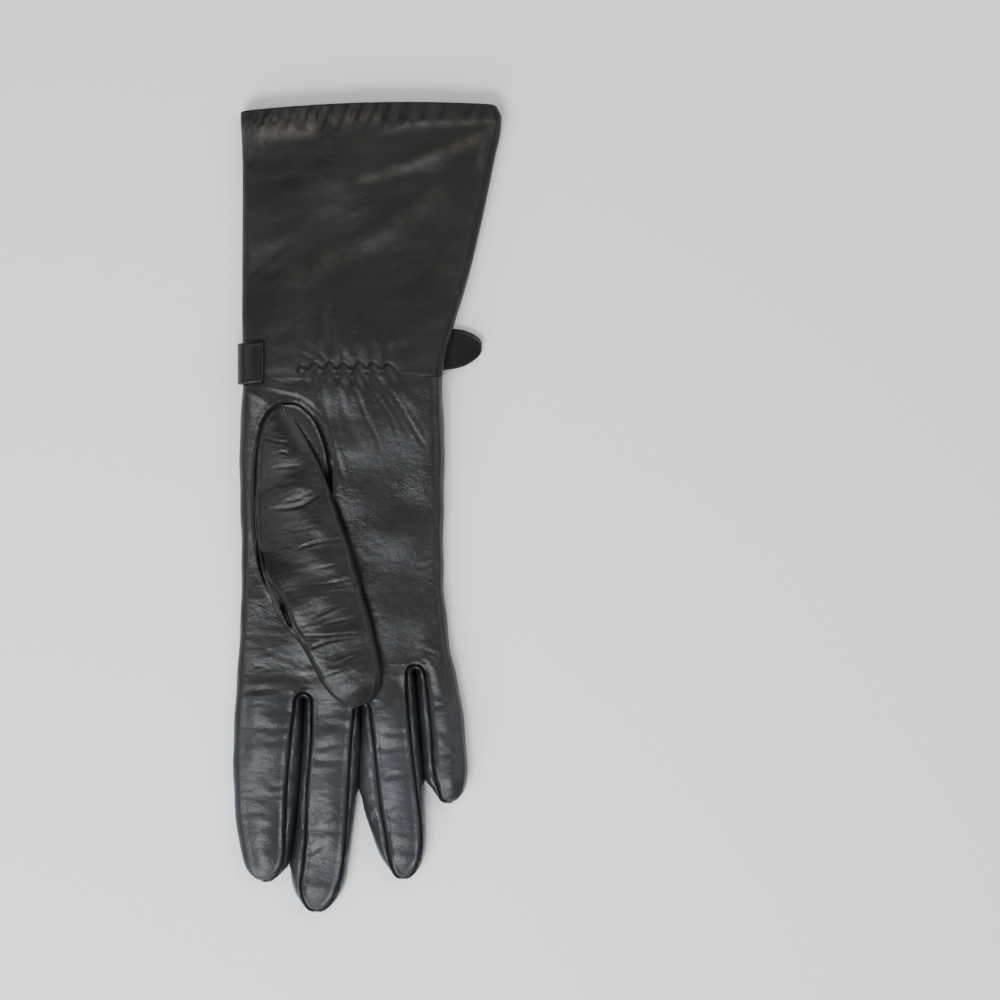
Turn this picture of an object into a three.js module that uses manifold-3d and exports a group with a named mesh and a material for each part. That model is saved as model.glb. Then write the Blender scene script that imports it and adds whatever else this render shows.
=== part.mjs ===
// Long leather glove for the right hand. It lies on its back, palm up, with the thumb folded over the palm.
// Millimetres. X runs across the hand to the little finger, Y from the fingertips to the mouth of the cuff,
// and Z up, out of the palm.
import * as THREE from "three";
import { mergeVertices } from "three/addons/utils/BufferGeometryUtils.js";
import Module from "manifold-3d";

const { smoothstep, lerp, clamp, degToRad, mapLinear } = THREE.MathUtils;
const wasm = await Module();
wasm.setup();

// Leather and seams
const leather = 1.2; // thickness of the leather
const seamGap = 0.3; // clear space between two pieces that are sewn together
const hemDepth = 7; // how far the mouth of the cuff is turned in
const hemLayers = 2; // layers of leather in that turned edge
const mouth = 159; // Y of the cuff's open end at its sides

// Heights above the surface that the glove lies on
const palmHeight = 8.6; // at the edges of the palm
const palmCrown = 1.2; // how much higher the middle of the palm is
const wristHeight = 13; // where the glove passes over its strap
const wristCrown = 0.2;
const cuffHeight = 9.4;
const cuffCrown = 1;
const fingerHeight = 8.6;
const fingerCrown = 0.7;
const thumbBase = palmHeight + palmCrown + seamGap; // underside of the folded thumb
const fromBelow = -5; // heights between which a cut goes right through the glove
const toAbove = 25;
const sideways = 90; // X past which there is no glove
const trimLength = 10; // more than the lofts run past the wrist seam

// Wrist: seam between hand and cuff, and the elastic that gathers the palm side
const wristSeam = 52.2;
const gatherFrom = -28; // X where the gathers start, and where they end
const gatherTo = 12;
const gatherPleats = 7;
const gatherHeight = 0.8;
const gatherReach = 17; // how far the pleats run from the seam before they fade
const waistDepth = 0.7; // how far the elastic pulls the leather down
const waistLength = 5;
const waistWidth = 26;

// Strap round the back of the wrist, and the plain loop that holds it there
const strapThick = 2;
const strapWidth = 16.6;
const keeperThick = 1;
const keeperWidth = 8;
const keeperX = 14;
const strapLow = keeperThick + seamGap;
const wristLow = strapLow + strapThick + seamGap;
const strapEndX = -41; // sewn end, on the palm
const strapTipX = 45.8; // pointed end
const strapBends = 8; // steps round the thumb side of the wrist
// The strap's middle line rises a little from the thumb side to the pointed end
const strapMiddle = { fromX: -46, fromY: 57.3, toX: 38, toY: 63.5 };
const keeperSlack = 0.4; // room beside the strap, which passes the loop a little aslant

// The pointed end: how much of the strap's width is left
const strapPoint = rows(["x", "share"], [
  [30, 1],
  [34, 0.98],
  [38, 0.9],
  [41.5, 0.72],
  [44.3, 0.48],
  [strapTipX, 0.14],
]);

// Hand, seen from above: left and right edge
const handTable = table(["y", "left", "right"], [
  [-81.2, -14, 5],
  [-79.2, -22, 6],
  [-78.6, -36, 6.4],
  [-75, -48, 9],
  [-68, -52.1, 16.6],
  [-67.2, -52, 25],
  [-64, -51.9, 31],
  [-59, -51.7, 33.4],
  [-46, -51, 31.8],
  [-34, -50.7, 30.7],
  [-17, -50.6, 30.3],
  [8, -51.2, 30.6],
  [30, -51.1, 30.9],
  [42, -50.3, 30.2],
  [48, -49.9, 30.1],
  [wristSeam, -49.8, 30.2],
], THREE.LinearInterpolant);
const handStations = [-81.2, -79.2, -78.6, -75, -68, -67.2, -64, -59, -36, -12, 12, 28, 36, 41, 46,
  wristSeam, wristSeam + 3];
const palmHollowStations = [-79.6, -77.6, -77, -73, -66.4, -65.6, -62, -56, -36, -12, 12, 28, 36, 41, 46,
  wristSeam, wristSeam + 5];

// Cuff, seen from above
const cuffTable = table(["y", "left", "right"], [
  [wristSeam + seamGap, -49.8, 30.2],
  [60, -49.8, 31.2],
  [72, -50.1, 34.6],
  [90, -50.3, 40],
  [114, -50, 45.8],
  [138, -50, 51],
  [150, -50.5, 53.8],
  [156, -50.8, 53.4],
  [mouth, -51, 51.6],
]);
const cuffBody = [57, 63, 72, 80, 92, 108, 126, 142];
const cuffStations = [wristSeam - 3, wristSeam, ...cuffBody, 150, 156, mouth];
const cuffHollowStations = [wristSeam - 5, wristSeam, ...cuffBody, mouth - hemDepth + 1];
const hemStations = [mouth - hemDepth, 156, mouth + 2];
const mouthPeakX = 17; // the mouth's edge is highest here and falls away to both sides
const mouthPeak = 2.8;
const mouthFall = 7.8e-4;
const mouthBowFrom = 110; // below this the cuff's cross-sections are straight

// Places along the glove where its height changes: it lifts off over its strap and comes down again
const liftFrom = 34;
const liftTo = 47.5;
const landFrom = 76;
const landTo = 90;
const cuffFrom = 62; // the wrist's height goes over into the cuff's
const cuffTo = 100;

// Height of the underside and of the top edge, and the crown of the top, at a place along the glove
function heights(y) {
  const toWrist = smoothstep(y, liftFrom, liftTo);
  const overStrap = toWrist * (1 - smoothstep(y, landFrom, landTo));
  const toCuff = smoothstep(y, cuffFrom, cuffTo);
  return {
    low: wristLow * overStrap,
    high: lerp(lerp(palmHeight, wristHeight, toWrist), cuffHeight, toCuff),
    crown: lerp(lerp(palmCrown, wristCrown, toWrist), cuffCrown, toCuff),
  };
}

// Soft ridges that run across the cuff
const cuffRidges = rows(["fromX", "fromY", "toX", "toY", "height", "halfWidth"], [
  [5.8, 149, 34.2, 154.2, 0.6, 4],
  [9.4, 133.4, 49, 149, 1.1, 6],
  [-3.8, 103.8, 28.2, 125, 0.9, 7],
  [-27.4, 85.8, -15.4, 103.8, 0.8, 6],
]);

// Fingers, seen from above: outer edges and the two seams of the palm side. The outer edges of the
// index and little fingers are folds with no seam, so there the seam column is where the fold starts.
const fingerColumns = ["y", "left", "seamLeft", "seamRight", "right"];
const fingers = {
  index: table(fingerColumns, [
    [-149.8, -42.6, -41.8, -41, -40.2],
    [-148.2, -45.6, -42.8, -38.8, -36.8],
    [-145.4, -47.8, -44.2, -36.2, -33.8],
    [-140.2, -50, -46, -34, -31.4],
    [-129.4, -52.4, -48, -33, -29.4],
    [-113.4, -53.7, -49.2, -32.4, -27.9],
    [-93.4, -53.8, -49.4, -30.8, -26.6],
    [-77.4, -53, -48.8, -29, -25.9],
    [-55, -51, -47, -30, -27],
  ]),
  middle: table(fingerColumns, [
    [-161.8, -21.2, -20.6, -19.8, -19.2],
    [-160.4, -24, -22.4, -17.6, -15.9],
    [-157.4, -27, -24.6, -15, -12.6],
    [-151.4, -29.6, -26.2, -11.6, -9.4],
    [-142.2, -30.7, -25.4, -9.6, -7.5],
    [-131.4, -29, -24.6, -8.6, -6],
    [-109.4, -26.9, -23.8, -7.4, -4],
    [-93.4, -25.7, -22.4, -6.4, -3.2],
    [-77.4, -25, -22.2, -5, -3],
    [-55, -24, -21.4, -5.6, -3],
  ]),
  ring: table(fingerColumns, [
    [-148.6, 13, 13.6, 14.6, 15.2],
    [-147, 10.8, 12.2, 16.8, 18.2],
    [-144.2, 8.2, 10.4, 19, 20.8],
    [-139.4, 5.2, 8.6, 21, 22.6],
    [-131.4, 1.8, 7.4, 21.6, 23.4],
    [-119.4, -1.9, 5.4, 20.6, 22.8],
    [-109.4, -3.2, 4.2, 19.2, 21.8],
    [-93.4, -2.4, 2.6, 17.4, 20.9],
    [-77.4, -2.2, 0.8, 16, 19.6],
    [-63.4, -1.8, 1, 15.6, 18.4],
    [-45, -1.4, 1.2, 15.4, 17.6],
  ]),
  little: table(fingerColumns, [
    [-118.2, 32, 32.6, 33.4, 34],
    [-117, 29.8, 31, 35.2, 36.4],
    [-114.4, 27.8, 29.6, 36.4, 38.2],
    [-109, 24.9, 27.6, 36.6, 39.4],
    [-100, 22.6, 26.4, 36, 39.8],
    [-91.4, 21.7, 25.8, 35.2, 39.2],
    [-76.6, 20.4, 24.2, 33.4, 37.4],
    [-64, 19.5, 22.7, 31.1, 34.6],
    [-57, 19.1, 22.2, 29.4, 32.7],
    [-45, 18.6, 21.4, 27, 30],
  ]),
};
const fingerTips = { index: -149.8, middle: -161.8, ring: -148.6, little: -118.2 };
const fingerRoot = -58; // the fingers start inside the hand
const fingerSteps = [0, 1, 3, 6, 12, 24, 42, 62, 83, 104]; // cross-sections, from the tip
const fingerColumnsAcross = spaced(0, 1, 4);
const foldPastSeam = 1.3; // a finger's side starts to round off a little inside its seam
const tipRounding = 10; // length over which a fingertip thins out
const tipThickness = 0.22; // share of the finger's height that is left at the very tip
const tipLift = 0.42; // share of that thinning which is on the underside
const tipWall = 2.4; // layers of leather at the tip, where the seams meet
const leastReach = 0.02; // share of the rounding at which the blunt tip ends
const innerFold = 0.6; // how much less the hollow's side is rounded, for each layer of leather

// Slots in the hand for the side strips: where the two seams meet, and the points round the fingertips
const slots = rows(["name", "leftFinger", "rightFinger", "crotch", "leftEnd", "rightEnd"], [
  ["index_middle", "index", "middle", [-25.5, -74.6], [-36.6, -149.4], [-23.6, -163]],
  ["middle_ring", "middle", "ring", [-2.6, -77.4], [-15, -162], [11, -149.4]],
  ["ring_little", "ring", "little", [19, -63.4], [24.5, -149.5], [31, -118.6]],
]);
const rootSpaceFrom = -84; // the hand's front edge lies between these
const rootSpaceTo = -76;

// Where the fingers part from the hand: a line from edge to edge, just inside each slot's apex
const knuckles = rows(["x", "y"], [
  [-sideways, -77.8],
  [-25.5, -75.4],
  [-2.6, -78.2],
  [19, -64.2],
  [sideways, -66.6],
]);
const slotFlare = 4; // length over which a slot opens out to its full width
const slotEnd = 1.2; // how far short of the fingertip its seams end
const seamSteps = 6; // points along a seam

// Thumb hole: an upright oval in the palm, leaning a little
const holeCentre = new THREE.Vector2(-29.2, 0.8);
const holeHalfWidth = 15;
const holeHalfLength = 40.6;
const holeLean = degToRad(4.4);
const holeSquareness = 2.3; // 2 is an ellipse
const holePoints = 32;
const neckOverlap = 0.4; // how far the thumb's leather dips into the hole past the palm's own
const throughFloor = 0.1; // how far the opening under the closed tube runs past its floor

// Thumb, seen from above: outer edges, and how far its right-hand fold lies inside the hole's edge
const thumbTable = table(["y", "left", "right", "shoulder", "high"], [
  [-79.6, -6.6, -3.2, 0, 14.6],
  [-78, -10.4, 0.6, 0, 15.6],
  [-74.6, -14, 3.8, 0, 16.6],
  [-69, -18.4, 5.8, 0, 17.2],
  [-60, -23.6, 4.7, 0, 17.4],
  [-45.4, -30.8, 1, 0, 17.5],
  [-34.2, -36.4, -1.8, 0, 17.6],
  [-21.4, -42.6, -5.8, 0, 17.4],
  [-6.2, -44.9, -10.2, 0, 16.9],
  [6.6, -45, -14.3, 0, 16.3],
  [18.6, -44.6, -14.6, 5.4, 15.2],
  [30.6, -42.4, -17.6, 8, 13.6],
  [38, -38, -24.5, 5, 12.2],
  [40, -35, -29, 2, 11.6],
]);
const thumbTip = -79.6;
const thumbApex = 40;
const thumbHollowFrom = -76; // the hollow starts past the rounded tip
const thumbHollowTo = 35;
const thumbCrown = 0.4;
const tipLiftFrom = -76; // past this the thumb's tip is a little off the palm
const tipOffPalm = 1.2;
const openFrom = 7; // above this the whole thumb lies over the hole
const seatedFrom = -14; // above this its left edge rises straight from the hole's seam
const creaseSlant = 0.22; // the thumb's cross creases rise to the right
const creaseDepth = 0.5;
const creases = [-57, -49, -39, -26, -16, -3, 20]; // Y of each crease
const slantFrom = -66; // the cross-sections between these lie along the creases
const slantTo = 28;
const underArch = 8; // length over which the arch and the opened floor run together
const thumbColumns = 5;
const thumbTipStations = [thumbTip, -78.6, -76, -72, -66];
const thumbTopStations = [30, 36, thumbApex];
const hollowTipStations = [thumbHollowFrom, -73, -68];
const hollowTopStations = [30, thumbHollowTo];

const blackLeather = { roughness: 0.42, metalness: 0 };
const looks = {
  hand: { color: 0x1b1c1f, ...blackLeather },
  cuff: { color: 0x1d1c1b, ...blackLeather, roughness: 0.55 },
  thumb: { color: 0x191a1d, ...blackLeather },
  fourchette: { color: 0x141517, ...blackLeather },
  strap: { color: 0x161616, ...blackLeather },
};

// Rows with named columns
function rows(columns, values) {
  return values.map((row) => Object.fromEntries(columns.map((name, i) => [name, row[i]])));
}

// A table whose first column increases, read at any value of that column
function table(columns, values, Interpolant = THREE.CubicInterpolant) {
  const keys = values.map((row) => row[0]);
  const samples = values.flatMap((row) => row.slice(1));
  const curve = new Interpolant(keys, samples, columns.length - 1);
  return (at) => {
    const result = curve.evaluate(clamp(at, keys[0], keys.at(-1)));
    return Object.fromEntries(columns.slice(1).map((name, i) => [name, result[i]]));
  };
}

// Evenly spaced numbers from one value to another
function spaced(from, to, steps) {
  return Array.from({ length: steps + 1 }, (_, i) => from + ((to - from) * i) / steps);
}

const edgeAngles = [45, 0, -45]; // points round a folded edge, in degrees
const bottomSteps = 3;
const leastFold = 0.3; // a hollow's corner is never sharper than this

// One flattened cross-section: a top run, a rounded right edge, a bottom run and a rounded left edge.
// foldLeft and foldRight are how far the rounded edges reach in, tuckLeft and tuckRight how much of
// that the lower half has, and shoulder how far the top leans in from the right edge.
function section(shape, columns, lift) {
  const { y, left, right, low, high, crown = 0, foldLeft, foldRight } = shape;
  const { tuckLeft = 1, tuckRight = 1, shoulder = 0, slant = 0 } = shape;
  const middle = (low + high) / 2;
  const half = (high - low) / 2;
  const points = [];
  const add = (x, z) => {
    const lean = z > low ? (shoulder * (z - low)) / (high - low) : 0;
    const share = (x - left) / (right - left);
    const leaned = x - lean * share;
    points.push(new THREE.Vector3(leaned, y + slant * (leaned - (left + right) / 2), z));
  };
  const roundEdge = (edge, inward, fold, tuck, angles) => {
    for (const angle of angles) {
      const a = degToRad(angle);
      const reach = fold * (1 - Math.cos(a)) * (angle < 0 ? tuck : 1);
      add(edge + inward * reach, middle + half * Math.sin(a));
    }
  };
  for (const u of columns) {
    const x = lerp(left + foldLeft, right - foldRight, u);
    const across = 2 * u - 1;
    add(x, high + crown * (1 - across * across) + lift(x, y));
  }
  roundEdge(right, -1, foldRight, tuckRight, edgeAngles);
  for (const u of spaced(1, 0, bottomSteps)) {
    add(lerp(left + foldLeft * tuckLeft, right - foldRight * tuckRight, u), low);
  }
  roundEdge(left, 1, foldLeft, tuckLeft, edgeAngles.toReversed());
  return points;
}

// A closed body through a list of cross-sections that have the same number of points
function loft(sections) {
  const count = sections[0].length;
  const position = sections.flat().flatMap((p) => p.toArray());
  const index = [];
  for (let i = 0; i + 1 < sections.length; i++) {
    for (let j = 0; j < count; j++) {
      const a = i * count + j;
      const b = i * count + ((j + 1) % count);
      index.push(a, b, a + count, b, b + count, a + count);
    }
  }
  const cap = (ring, offset, flip) => {
    const centre = new THREE.Vector3();
    ring.forEach((p) => centre.addScaledVector(p, 1 / count));
    const hub = position.length / 3;
    position.push(...centre.toArray());
    for (let j = 0; j < count; j++) {
      const next = (j + 1) % count;
      index.push(hub, offset + (flip ? next : j), offset + (flip ? j : next));
    }
  };
  cap(sections[0], 0, true);
  cap(sections.at(-1), (sections.length - 1) * count, false);
  const geometry = new THREE.BufferGeometry();
  geometry.setAttribute("position", new THREE.Float32BufferAttribute(position, 3));
  geometry.setIndex(index);
  return toSolid(geometry);
}

// A closed three.js geometry as a solid for cutting and joining
function toSolid(geometry) {
  const bare = geometry.clone();
  bare.deleteAttribute("normal");
  bare.deleteAttribute("uv");
  const merged = mergeVertices(bare, 1e-4);
  const triVerts = new Uint32Array(merged.index.array);
  const vertProperties = merged.attributes.position.array;
  return new wasm.Manifold(new wasm.Mesh({ numProp: 3, vertProperties, triVerts }));
}

// A finished solid as a named mesh
function piece(name, solid, look) {
  const mesh = solid.getMesh();
  const geometry = new THREE.BufferGeometry();
  geometry.setAttribute("position", new THREE.BufferAttribute(mesh.vertProperties, 3));
  geometry.setIndex(new THREE.BufferAttribute(mesh.triVerts, 1));
  geometry.computeVertexNormals();
  const made = new THREE.Mesh(geometry, new THREE.MeshStandardMaterial(look));
  made.name = name;
  return made;
}

// An outline in the XY plane as an upright block between two heights
function block(outline, from, to) {
  const shape = new THREE.Shape(outline);
  const geometry = new THREE.ExtrudeGeometry(shape, { depth: to - from, bevelEnabled: false });
  return toSolid(geometry.translate(0, 0, from));
}

// Everything between two places along the glove
function crossBlock(fromY, toY) {
  const corners = [[-sideways, fromY], [sideways, fromY], [sideways, toY], [-sideways, toY]];
  return block(corners.map(([x, y]) => new THREE.Vector2(x, y)), fromBelow, toAbove);
}

const flat = () => 0;

// Near its tip a finger thins out: its height there, that of its underside, and how round it still is
function fingerForm(name, y) {
  const reach = clamp((y - fingerTips[name]) / tipRounding, leastReach, 1);
  const round = Math.sqrt(1 - (1 - reach) ** 2);
  const height = lerp(tipThickness, 1, round) * fingerHeight;
  return { round, height, low: (fingerHeight - height) * tipLift };
}

// Finger or, with inset above 0, the hollow inside it
function fingerSolid(name, inset) {
  const outline = fingers[name];
  const tip = fingerTips[name];
  const from = tip + (inset ? leather * tipWall : 0);
  const sections = [];
  for (const step of fingerSteps) {
    const y = Math.min(from + step, fingerRoot);
    const edge = outline(y - inset);
    const { round, height, low } = fingerForm(name, y - inset);
    const fold = (width) => Math.max(width * foldPastSeam - inset * innerFold, leastFold);
    sections.push(section({
      y,
      left: edge.left + inset,
      right: edge.right - inset,
      low: low + inset,
      high: low + height - inset,
      crown: fingerCrown * round,
      foldLeft: fold(edge.seamLeft - edge.left),
      foldRight: fold(edge.right - edge.seamRight),
    }, fingerColumnsAcross, flat));
    if (y === fingerRoot) break;
  }
  return loft(sections);
}

// Pleats below and above the elastic, and the waist that it draws
function gathers(x, y) {
  const t = (x - gatherFrom) / (gatherTo - gatherFrom);
  const away = Math.abs(y - wristSeam);
  const aside = x - (gatherFrom + gatherTo) / 2;
  const waist = -waistDepth * Math.exp(-((away / waistLength) ** 2) - (aside / waistWidth) ** 2);
  if (t <= 0 || t >= 1) return waist;
  const height = gatherHeight * Math.exp(-away / gatherReach) * Math.sqrt(Math.sin(Math.PI * t));
  return waist + height * Math.cos(2 * Math.PI * gatherPleats * t);
}

// Columns across the hand: one on each crest and trough of the pleats, and a few to each side
function wristColumns() {
  const edge = handTable(wristSeam);
  const fold = (wristHeight - wristLow) / 2;
  const share = (x) => (x - edge.left - fold) / (edge.right - edge.left - 2 * fold);
  const start = share(gatherFrom);
  const end = share(gatherTo);
  return [
    ...spaced(0, start, 2).slice(0, -1),
    ...spaced(start, end, gatherPleats * 2),
    ...spaced(end, 1, 3).slice(1),
  ];
}

// Hand without fingers or, with inset above 0, the hollow inside it
function handSolid(inset) {
  const columns = wristColumns();
  return loft((inset ? palmHollowStations : handStations).map((y) => {
    const edge = handTable(y - inset);
    const { low, high, crown } = heights(y);
    const fold = Math.max(Math.min((high - low) / 2, (edge.right - edge.left) * 0.3) - inset, leastFold);
    return section({
      y,
      left: edge.left + inset,
      right: edge.right - inset,
      low: low + inset,
      high: high - inset,
      crown,
      foldLeft: fold,
      foldRight: fold,
    }, columns, gathers);
  }));
}

// Height of the soft ridges and the pleats at a place on the cuff
function cuffRelief(x, y) {
  const here = new THREE.Vector3(x, y, 0);
  let height = gathers(x, y);
  for (const ridge of cuffRidges) {
    const start = new THREE.Vector3(ridge.fromX, ridge.fromY, 0);
    const end = new THREE.Vector3(ridge.toX, ridge.toY, 0);
    const closest = new THREE.Line3(start, end).closestPointToPoint(here, true, new THREE.Vector3());
    height += ridge.height * Math.exp(-((closest.distanceTo(here) / ridge.halfWidth) ** 2));
  }
  return height;
}

// Cuff or its hollow, whose walls are inset by the given number of layers of leather
function cuffSolid(stations, layers) {
  const inset = layers * leather;
  const columns = wristColumns();
  return loft(stations.map((y) => {
    const edge = cuffTable(y);
    const { low, high, crown } = heights(y);
    const fold = Math.max((high - low) / 2 - inset, leastFold);
    const bow = smoothstep(y, mouthBowFrom, mouth);
    const points = section({
      y,
      left: edge.left + inset,
      right: edge.right - inset,
      low: low + inset,
      high: high - inset,
      crown,
      foldLeft: fold,
      foldRight: fold,
    }, columns, cuffRelief);
    points.forEach((p) => (p.y += bow * (mouthPeak - mouthFall * (p.x - mouthPeakX) ** 2)));
    return points;
  }));
}

function cuff() {
  const belowSeam = crossBlock(wristSeam - trimLength, wristSeam + seamGap);
  return cuffSolid(cuffStations, 0)
    .subtract(cuffSolid(cuffHollowStations, 1))
    .subtract(cuffSolid(hemStations, hemLayers))
    .subtract(belowSeam);
}

// Outline of the thumb hole, drawn in by inset
function holeOutline(inset) {
  const power = 2 / holeSquareness;
  return spaced(0, 2 * Math.PI, holePoints).slice(0, -1).map((a) => {
    const bend = (value) => Math.sign(value) * Math.abs(value) ** power;
    const x = (holeHalfWidth - inset) * bend(Math.cos(a));
    const y = (holeHalfLength - inset) * bend(Math.sin(a));
    return new THREE.Vector2(x, y).rotateAround(new THREE.Vector2(), holeLean).add(holeCentre);
  });
}

// Outline of a slot between two fingers, from the point down one seam and back up the other.
// grow widens it, and a negative grow narrows it.
function slotOutline(slot, grow) {
  const [crotchX, crotchY] = slot.crotch;
  const seam = (finger, column, side) => {
    const ys = spaced(crotchY - slotFlare, fingerTips[finger] + slotEnd, seamSteps);
    return ys.map((y) => new THREE.Vector2(fingers[finger](y)[column] + side * grow, y));
  };
  const down = seam(slot.leftFinger, "seamRight", -1);
  const up = seam(slot.rightFinger, "seamLeft", 1).reverse();
  return [
    new THREE.Vector2(crotchX, crotchY + grow * 2),
    ...down,
    new THREE.Vector2(...slot.leftEnd),
    new THREE.Vector2(...slot.rightEnd),
    ...up,
  ];
}

// Left and right edges of an outline at a place along the glove
function edgesAt(outline, y) {
  const xs = [];
  outline.forEach((p, i) => {
    const q = outline[(i + 1) % outline.length];
    if (p.y < y !== q.y < y) xs.push(mapLinear(y, p.y, q.y, p.x, q.x));
  });
  return { left: Math.min(...xs), right: Math.max(...xs) };
}

// Thumb or its hollow. Above openFrom the thumb is an arch over the hole, and below it a closed tube.
function thumbLoft(inset) {
  const between = creases.slice(1).map((y, i) => (y + creases[i]) / 2);
  const tip = inset ? hollowTipStations : thumbTipStations;
  const top = inset ? hollowTopStations : thumbTopStations;
  const ys = [...tip, ...creases, ...between, ...top].sort((a, b) => a - b);
  const rim = holeOutline(seamGap);
  return loft(ys.map((y) => {
    const edge = thumbTable(y - (y < creases[0] ? inset : 0));
    const overHole = y > openFrom;
    const seated = y > seatedFrom;
    const left = seated ? edgesAt(rim, y).left : edge.left;
    const right = overHole ? edgesAt(rim, y).right : edge.right;
    const base = thumbBase + (y < tipLiftFrom ? tipOffPalm : 0);
    const high = edge.high - (creases.includes(y) ? creaseDepth : 0);
    const height = high - base;
    const floor = overHole && inset ? base - neckOverlap : base + inset;
    const slope = edge.shoulder / height;
    const fold = Math.max(Math.min(height / 2, (right - left) * 0.4) - inset, leastFold);
    return section({
      y,
      left: left + inset,
      right: right - inset * Math.hypot(1, slope) - slope * (floor - base),
      low: floor,
      high: high - inset,
      crown: thumbCrown,
      foldLeft: fold,
      foldRight: fold,
      tuckLeft: seated ? 0 : 1,
      tuckRight: overHole ? 0 : 1,
      shoulder: slope * (high - inset - floor),
      slant: y > slantFrom && y < slantTo ? creaseSlant : 0,
    }, spaced(0, 1, thumbColumns), flat);
  }));
}

// The thumb with the neck by which it is sewn into the hole. Its hollow opens downwards into the hand:
// all of the hole up to the thumb's floor, and the part under the closed tube right through the floor.
function thumb() {
  const neckLow = palmHeight + palmCrown - leather - neckOverlap;
  const opening = holeOutline(seamGap + leather);
  const underTube = opening.filter((p) => p.y < openFrom + underArch);
  const neck = block(holeOutline(seamGap), neckLow, thumbBase + neckOverlap);
  const hollow = thumbLoft(leather)
    .add(block(opening, 0, thumbBase - neckOverlap / 2))
    .add(block(underTube, 0, thumbBase + leather + throughFloor));
  return thumbLoft(0).add(neck).subtract(hollow);
}

// A band with a rectangular section along a path: each station has a centre, the way out, and two edges
function band(stations) {
  return loft(stations.map(({ inner, outer, edge, otherEdge }) => [
    new THREE.Vector3(inner.x, edge, inner.y),
    new THREE.Vector3(outer.x, edge, outer.y),
    new THREE.Vector3(outer.x, otherEdge, outer.y),
    new THREE.Vector3(inner.x, otherEdge, inner.y),
  ]));
}

// Y of the strap's middle line
function strapMiddleAt(x) {
  const { fromX, fromY, toX, toY } = strapMiddle;
  return mapLinear(x, fromX, toX, fromY, toY);
}

// The strap starts on the palm, goes round the thumb side of the wrist and runs along the back to its point
function strap() {
  const radius = (wristHeight - wristLow) / 2;
  const centre = new THREE.Vector2(handTable(wristSeam).left + radius, (wristHeight + wristLow) / 2);
  const near = radius + seamGap;
  const far = near + strapThick;
  const half = strapWidth / 2;
  const station = (x, angle, share = 1) => {
    const a = degToRad(angle);
    const way = new THREE.Vector2(-Math.sin(a), Math.cos(a));
    const from = new THREE.Vector2(x, centre.y);
    const middle = strapMiddleAt(x - far * Math.sin(a));
    return {
      inner: from.clone().addScaledVector(way, near),
      outer: from.clone().addScaledVector(way, far),
      edge: middle - half * share,
      otherEdge: middle + half * share,
    };
  };
  return band([
    station(strapEndX, 0),
    ...spaced(0, 180, strapBends).map((angle) => station(centre.x, angle)),
    ...strapPoint.map(({ x, share }) => station(x, 180, share)),
  ]);
}

// A flat strip under the strap with both ends turned up to the cuff's underside
function keeper() {
  const inner = strapWidth / 2 + seamGap + keeperSlack;
  const outer = inner + keeperThick;
  const top = wristLow - seamGap;
  const profile = [
    [-outer, 0],
    [outer, 0],
    [outer, top],
    [inner, top],
    [inner, keeperThick],
    [-inner, keeperThick],
    [-inner, top],
    [-outer, top],
  ];
  const shape = new THREE.Shape(profile.map(([y, z]) => new THREE.Vector2(y, z)));
  const geometry = new THREE.ExtrudeGeometry(shape, { depth: keeperWidth, bevelEnabled: false });
  geometry.rotateX(Math.PI / 2).rotateZ(Math.PI / 2);
  return toSolid(geometry.translate(keeperX - keeperWidth / 2, strapMiddleAt(keeperX), 0));
}

// A thin upright cut from one side of the glove to the other, just inside the slots
function knuckleCut() {
  const edge = (side) => knuckles.map((p) => new THREE.Vector2(p.x, p.y + side * seamGap / 2));
  return block([...edge(-1), ...edge(1).reverse()], fromBelow, toAbove);
}

// Clear space through one of the two middle fingers, where it meets the hand's front edge
function rootSpace(name) {
  const { left, right } = fingers[name](rootSpaceTo);
  const corners = [[left, rootSpaceFrom], [right, rootSpaceFrom], [right, rootSpaceTo], [left, rootSpaceTo]];
  const inward = (x) => x + Math.sign((left + right) / 2 - x) * leather;
  const outline = corners.map(([x, y]) => new THREE.Vector2(inward(x), y));
  return block(outline, leather * 2, fingerHeight - leather * 2);
}

// Assembly: hand and fingers are made as one skin, from which the slots and the thumb hole are cut
const names = Object.keys(fingers);
const join = (solids) => solids.reduce((a, b) => a.add(b));
const outside = join([handSolid(0), ...names.map((name) => fingerSolid(name, 0))]);
const inside = join([handSolid(leather), ...names.map((name) => fingerSolid(name, leather))]);
const skin = outside.subtract(inside).subtract(crossBlock(wristSeam, wristSeam + trimLength));
const slotBlocks = slots.map((slot) => block(slotOutline(slot, seamGap / 2), fromBelow, toAbove));
const thumbHole = block(holeOutline(0), palmHeight / 2, toAbove);
const bodies = [...slotBlocks, thumbHole, knuckleCut()].reduce((a, b) => a.subtract(b), skin).decompose();
const byPlace = (a, b) => a.boundingBox().min[0] - b.boundingBox().min[0];
const [hand] = bodies.filter((body) => body.boundingBox().max[1] > fingerRoot + 1);
const rootSpaces = join(names.slice(1, -1).map(rootSpace));
const fingerBodies = bodies.filter((body) => body !== hand).map((body) => body.subtract(rootSpaces));
fingerBodies.sort(byPlace);

const glove = new THREE.Group();
glove.name = "long_leather_glove";
glove.add(piece("hand", hand, looks.hand));
names.forEach((name, i) => glove.add(piece(name + "_finger", fingerBodies[i], looks.hand)));
for (const slot of slots) {
  const strip = skin.intersect(block(slotOutline(slot, -seamGap / 2), fromBelow, toAbove));
  glove.add(piece("fourchette_" + slot.name, strip, looks.fourchette));
}
glove.add(piece("thumb", thumb(), looks.thumb));
glove.add(piece("cuff", cuff(), looks.cuff));
glove.add(piece("strap", strap(), looks.strap));
glove.add(piece("strap_keeper", keeper(), looks.strap));

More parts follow.
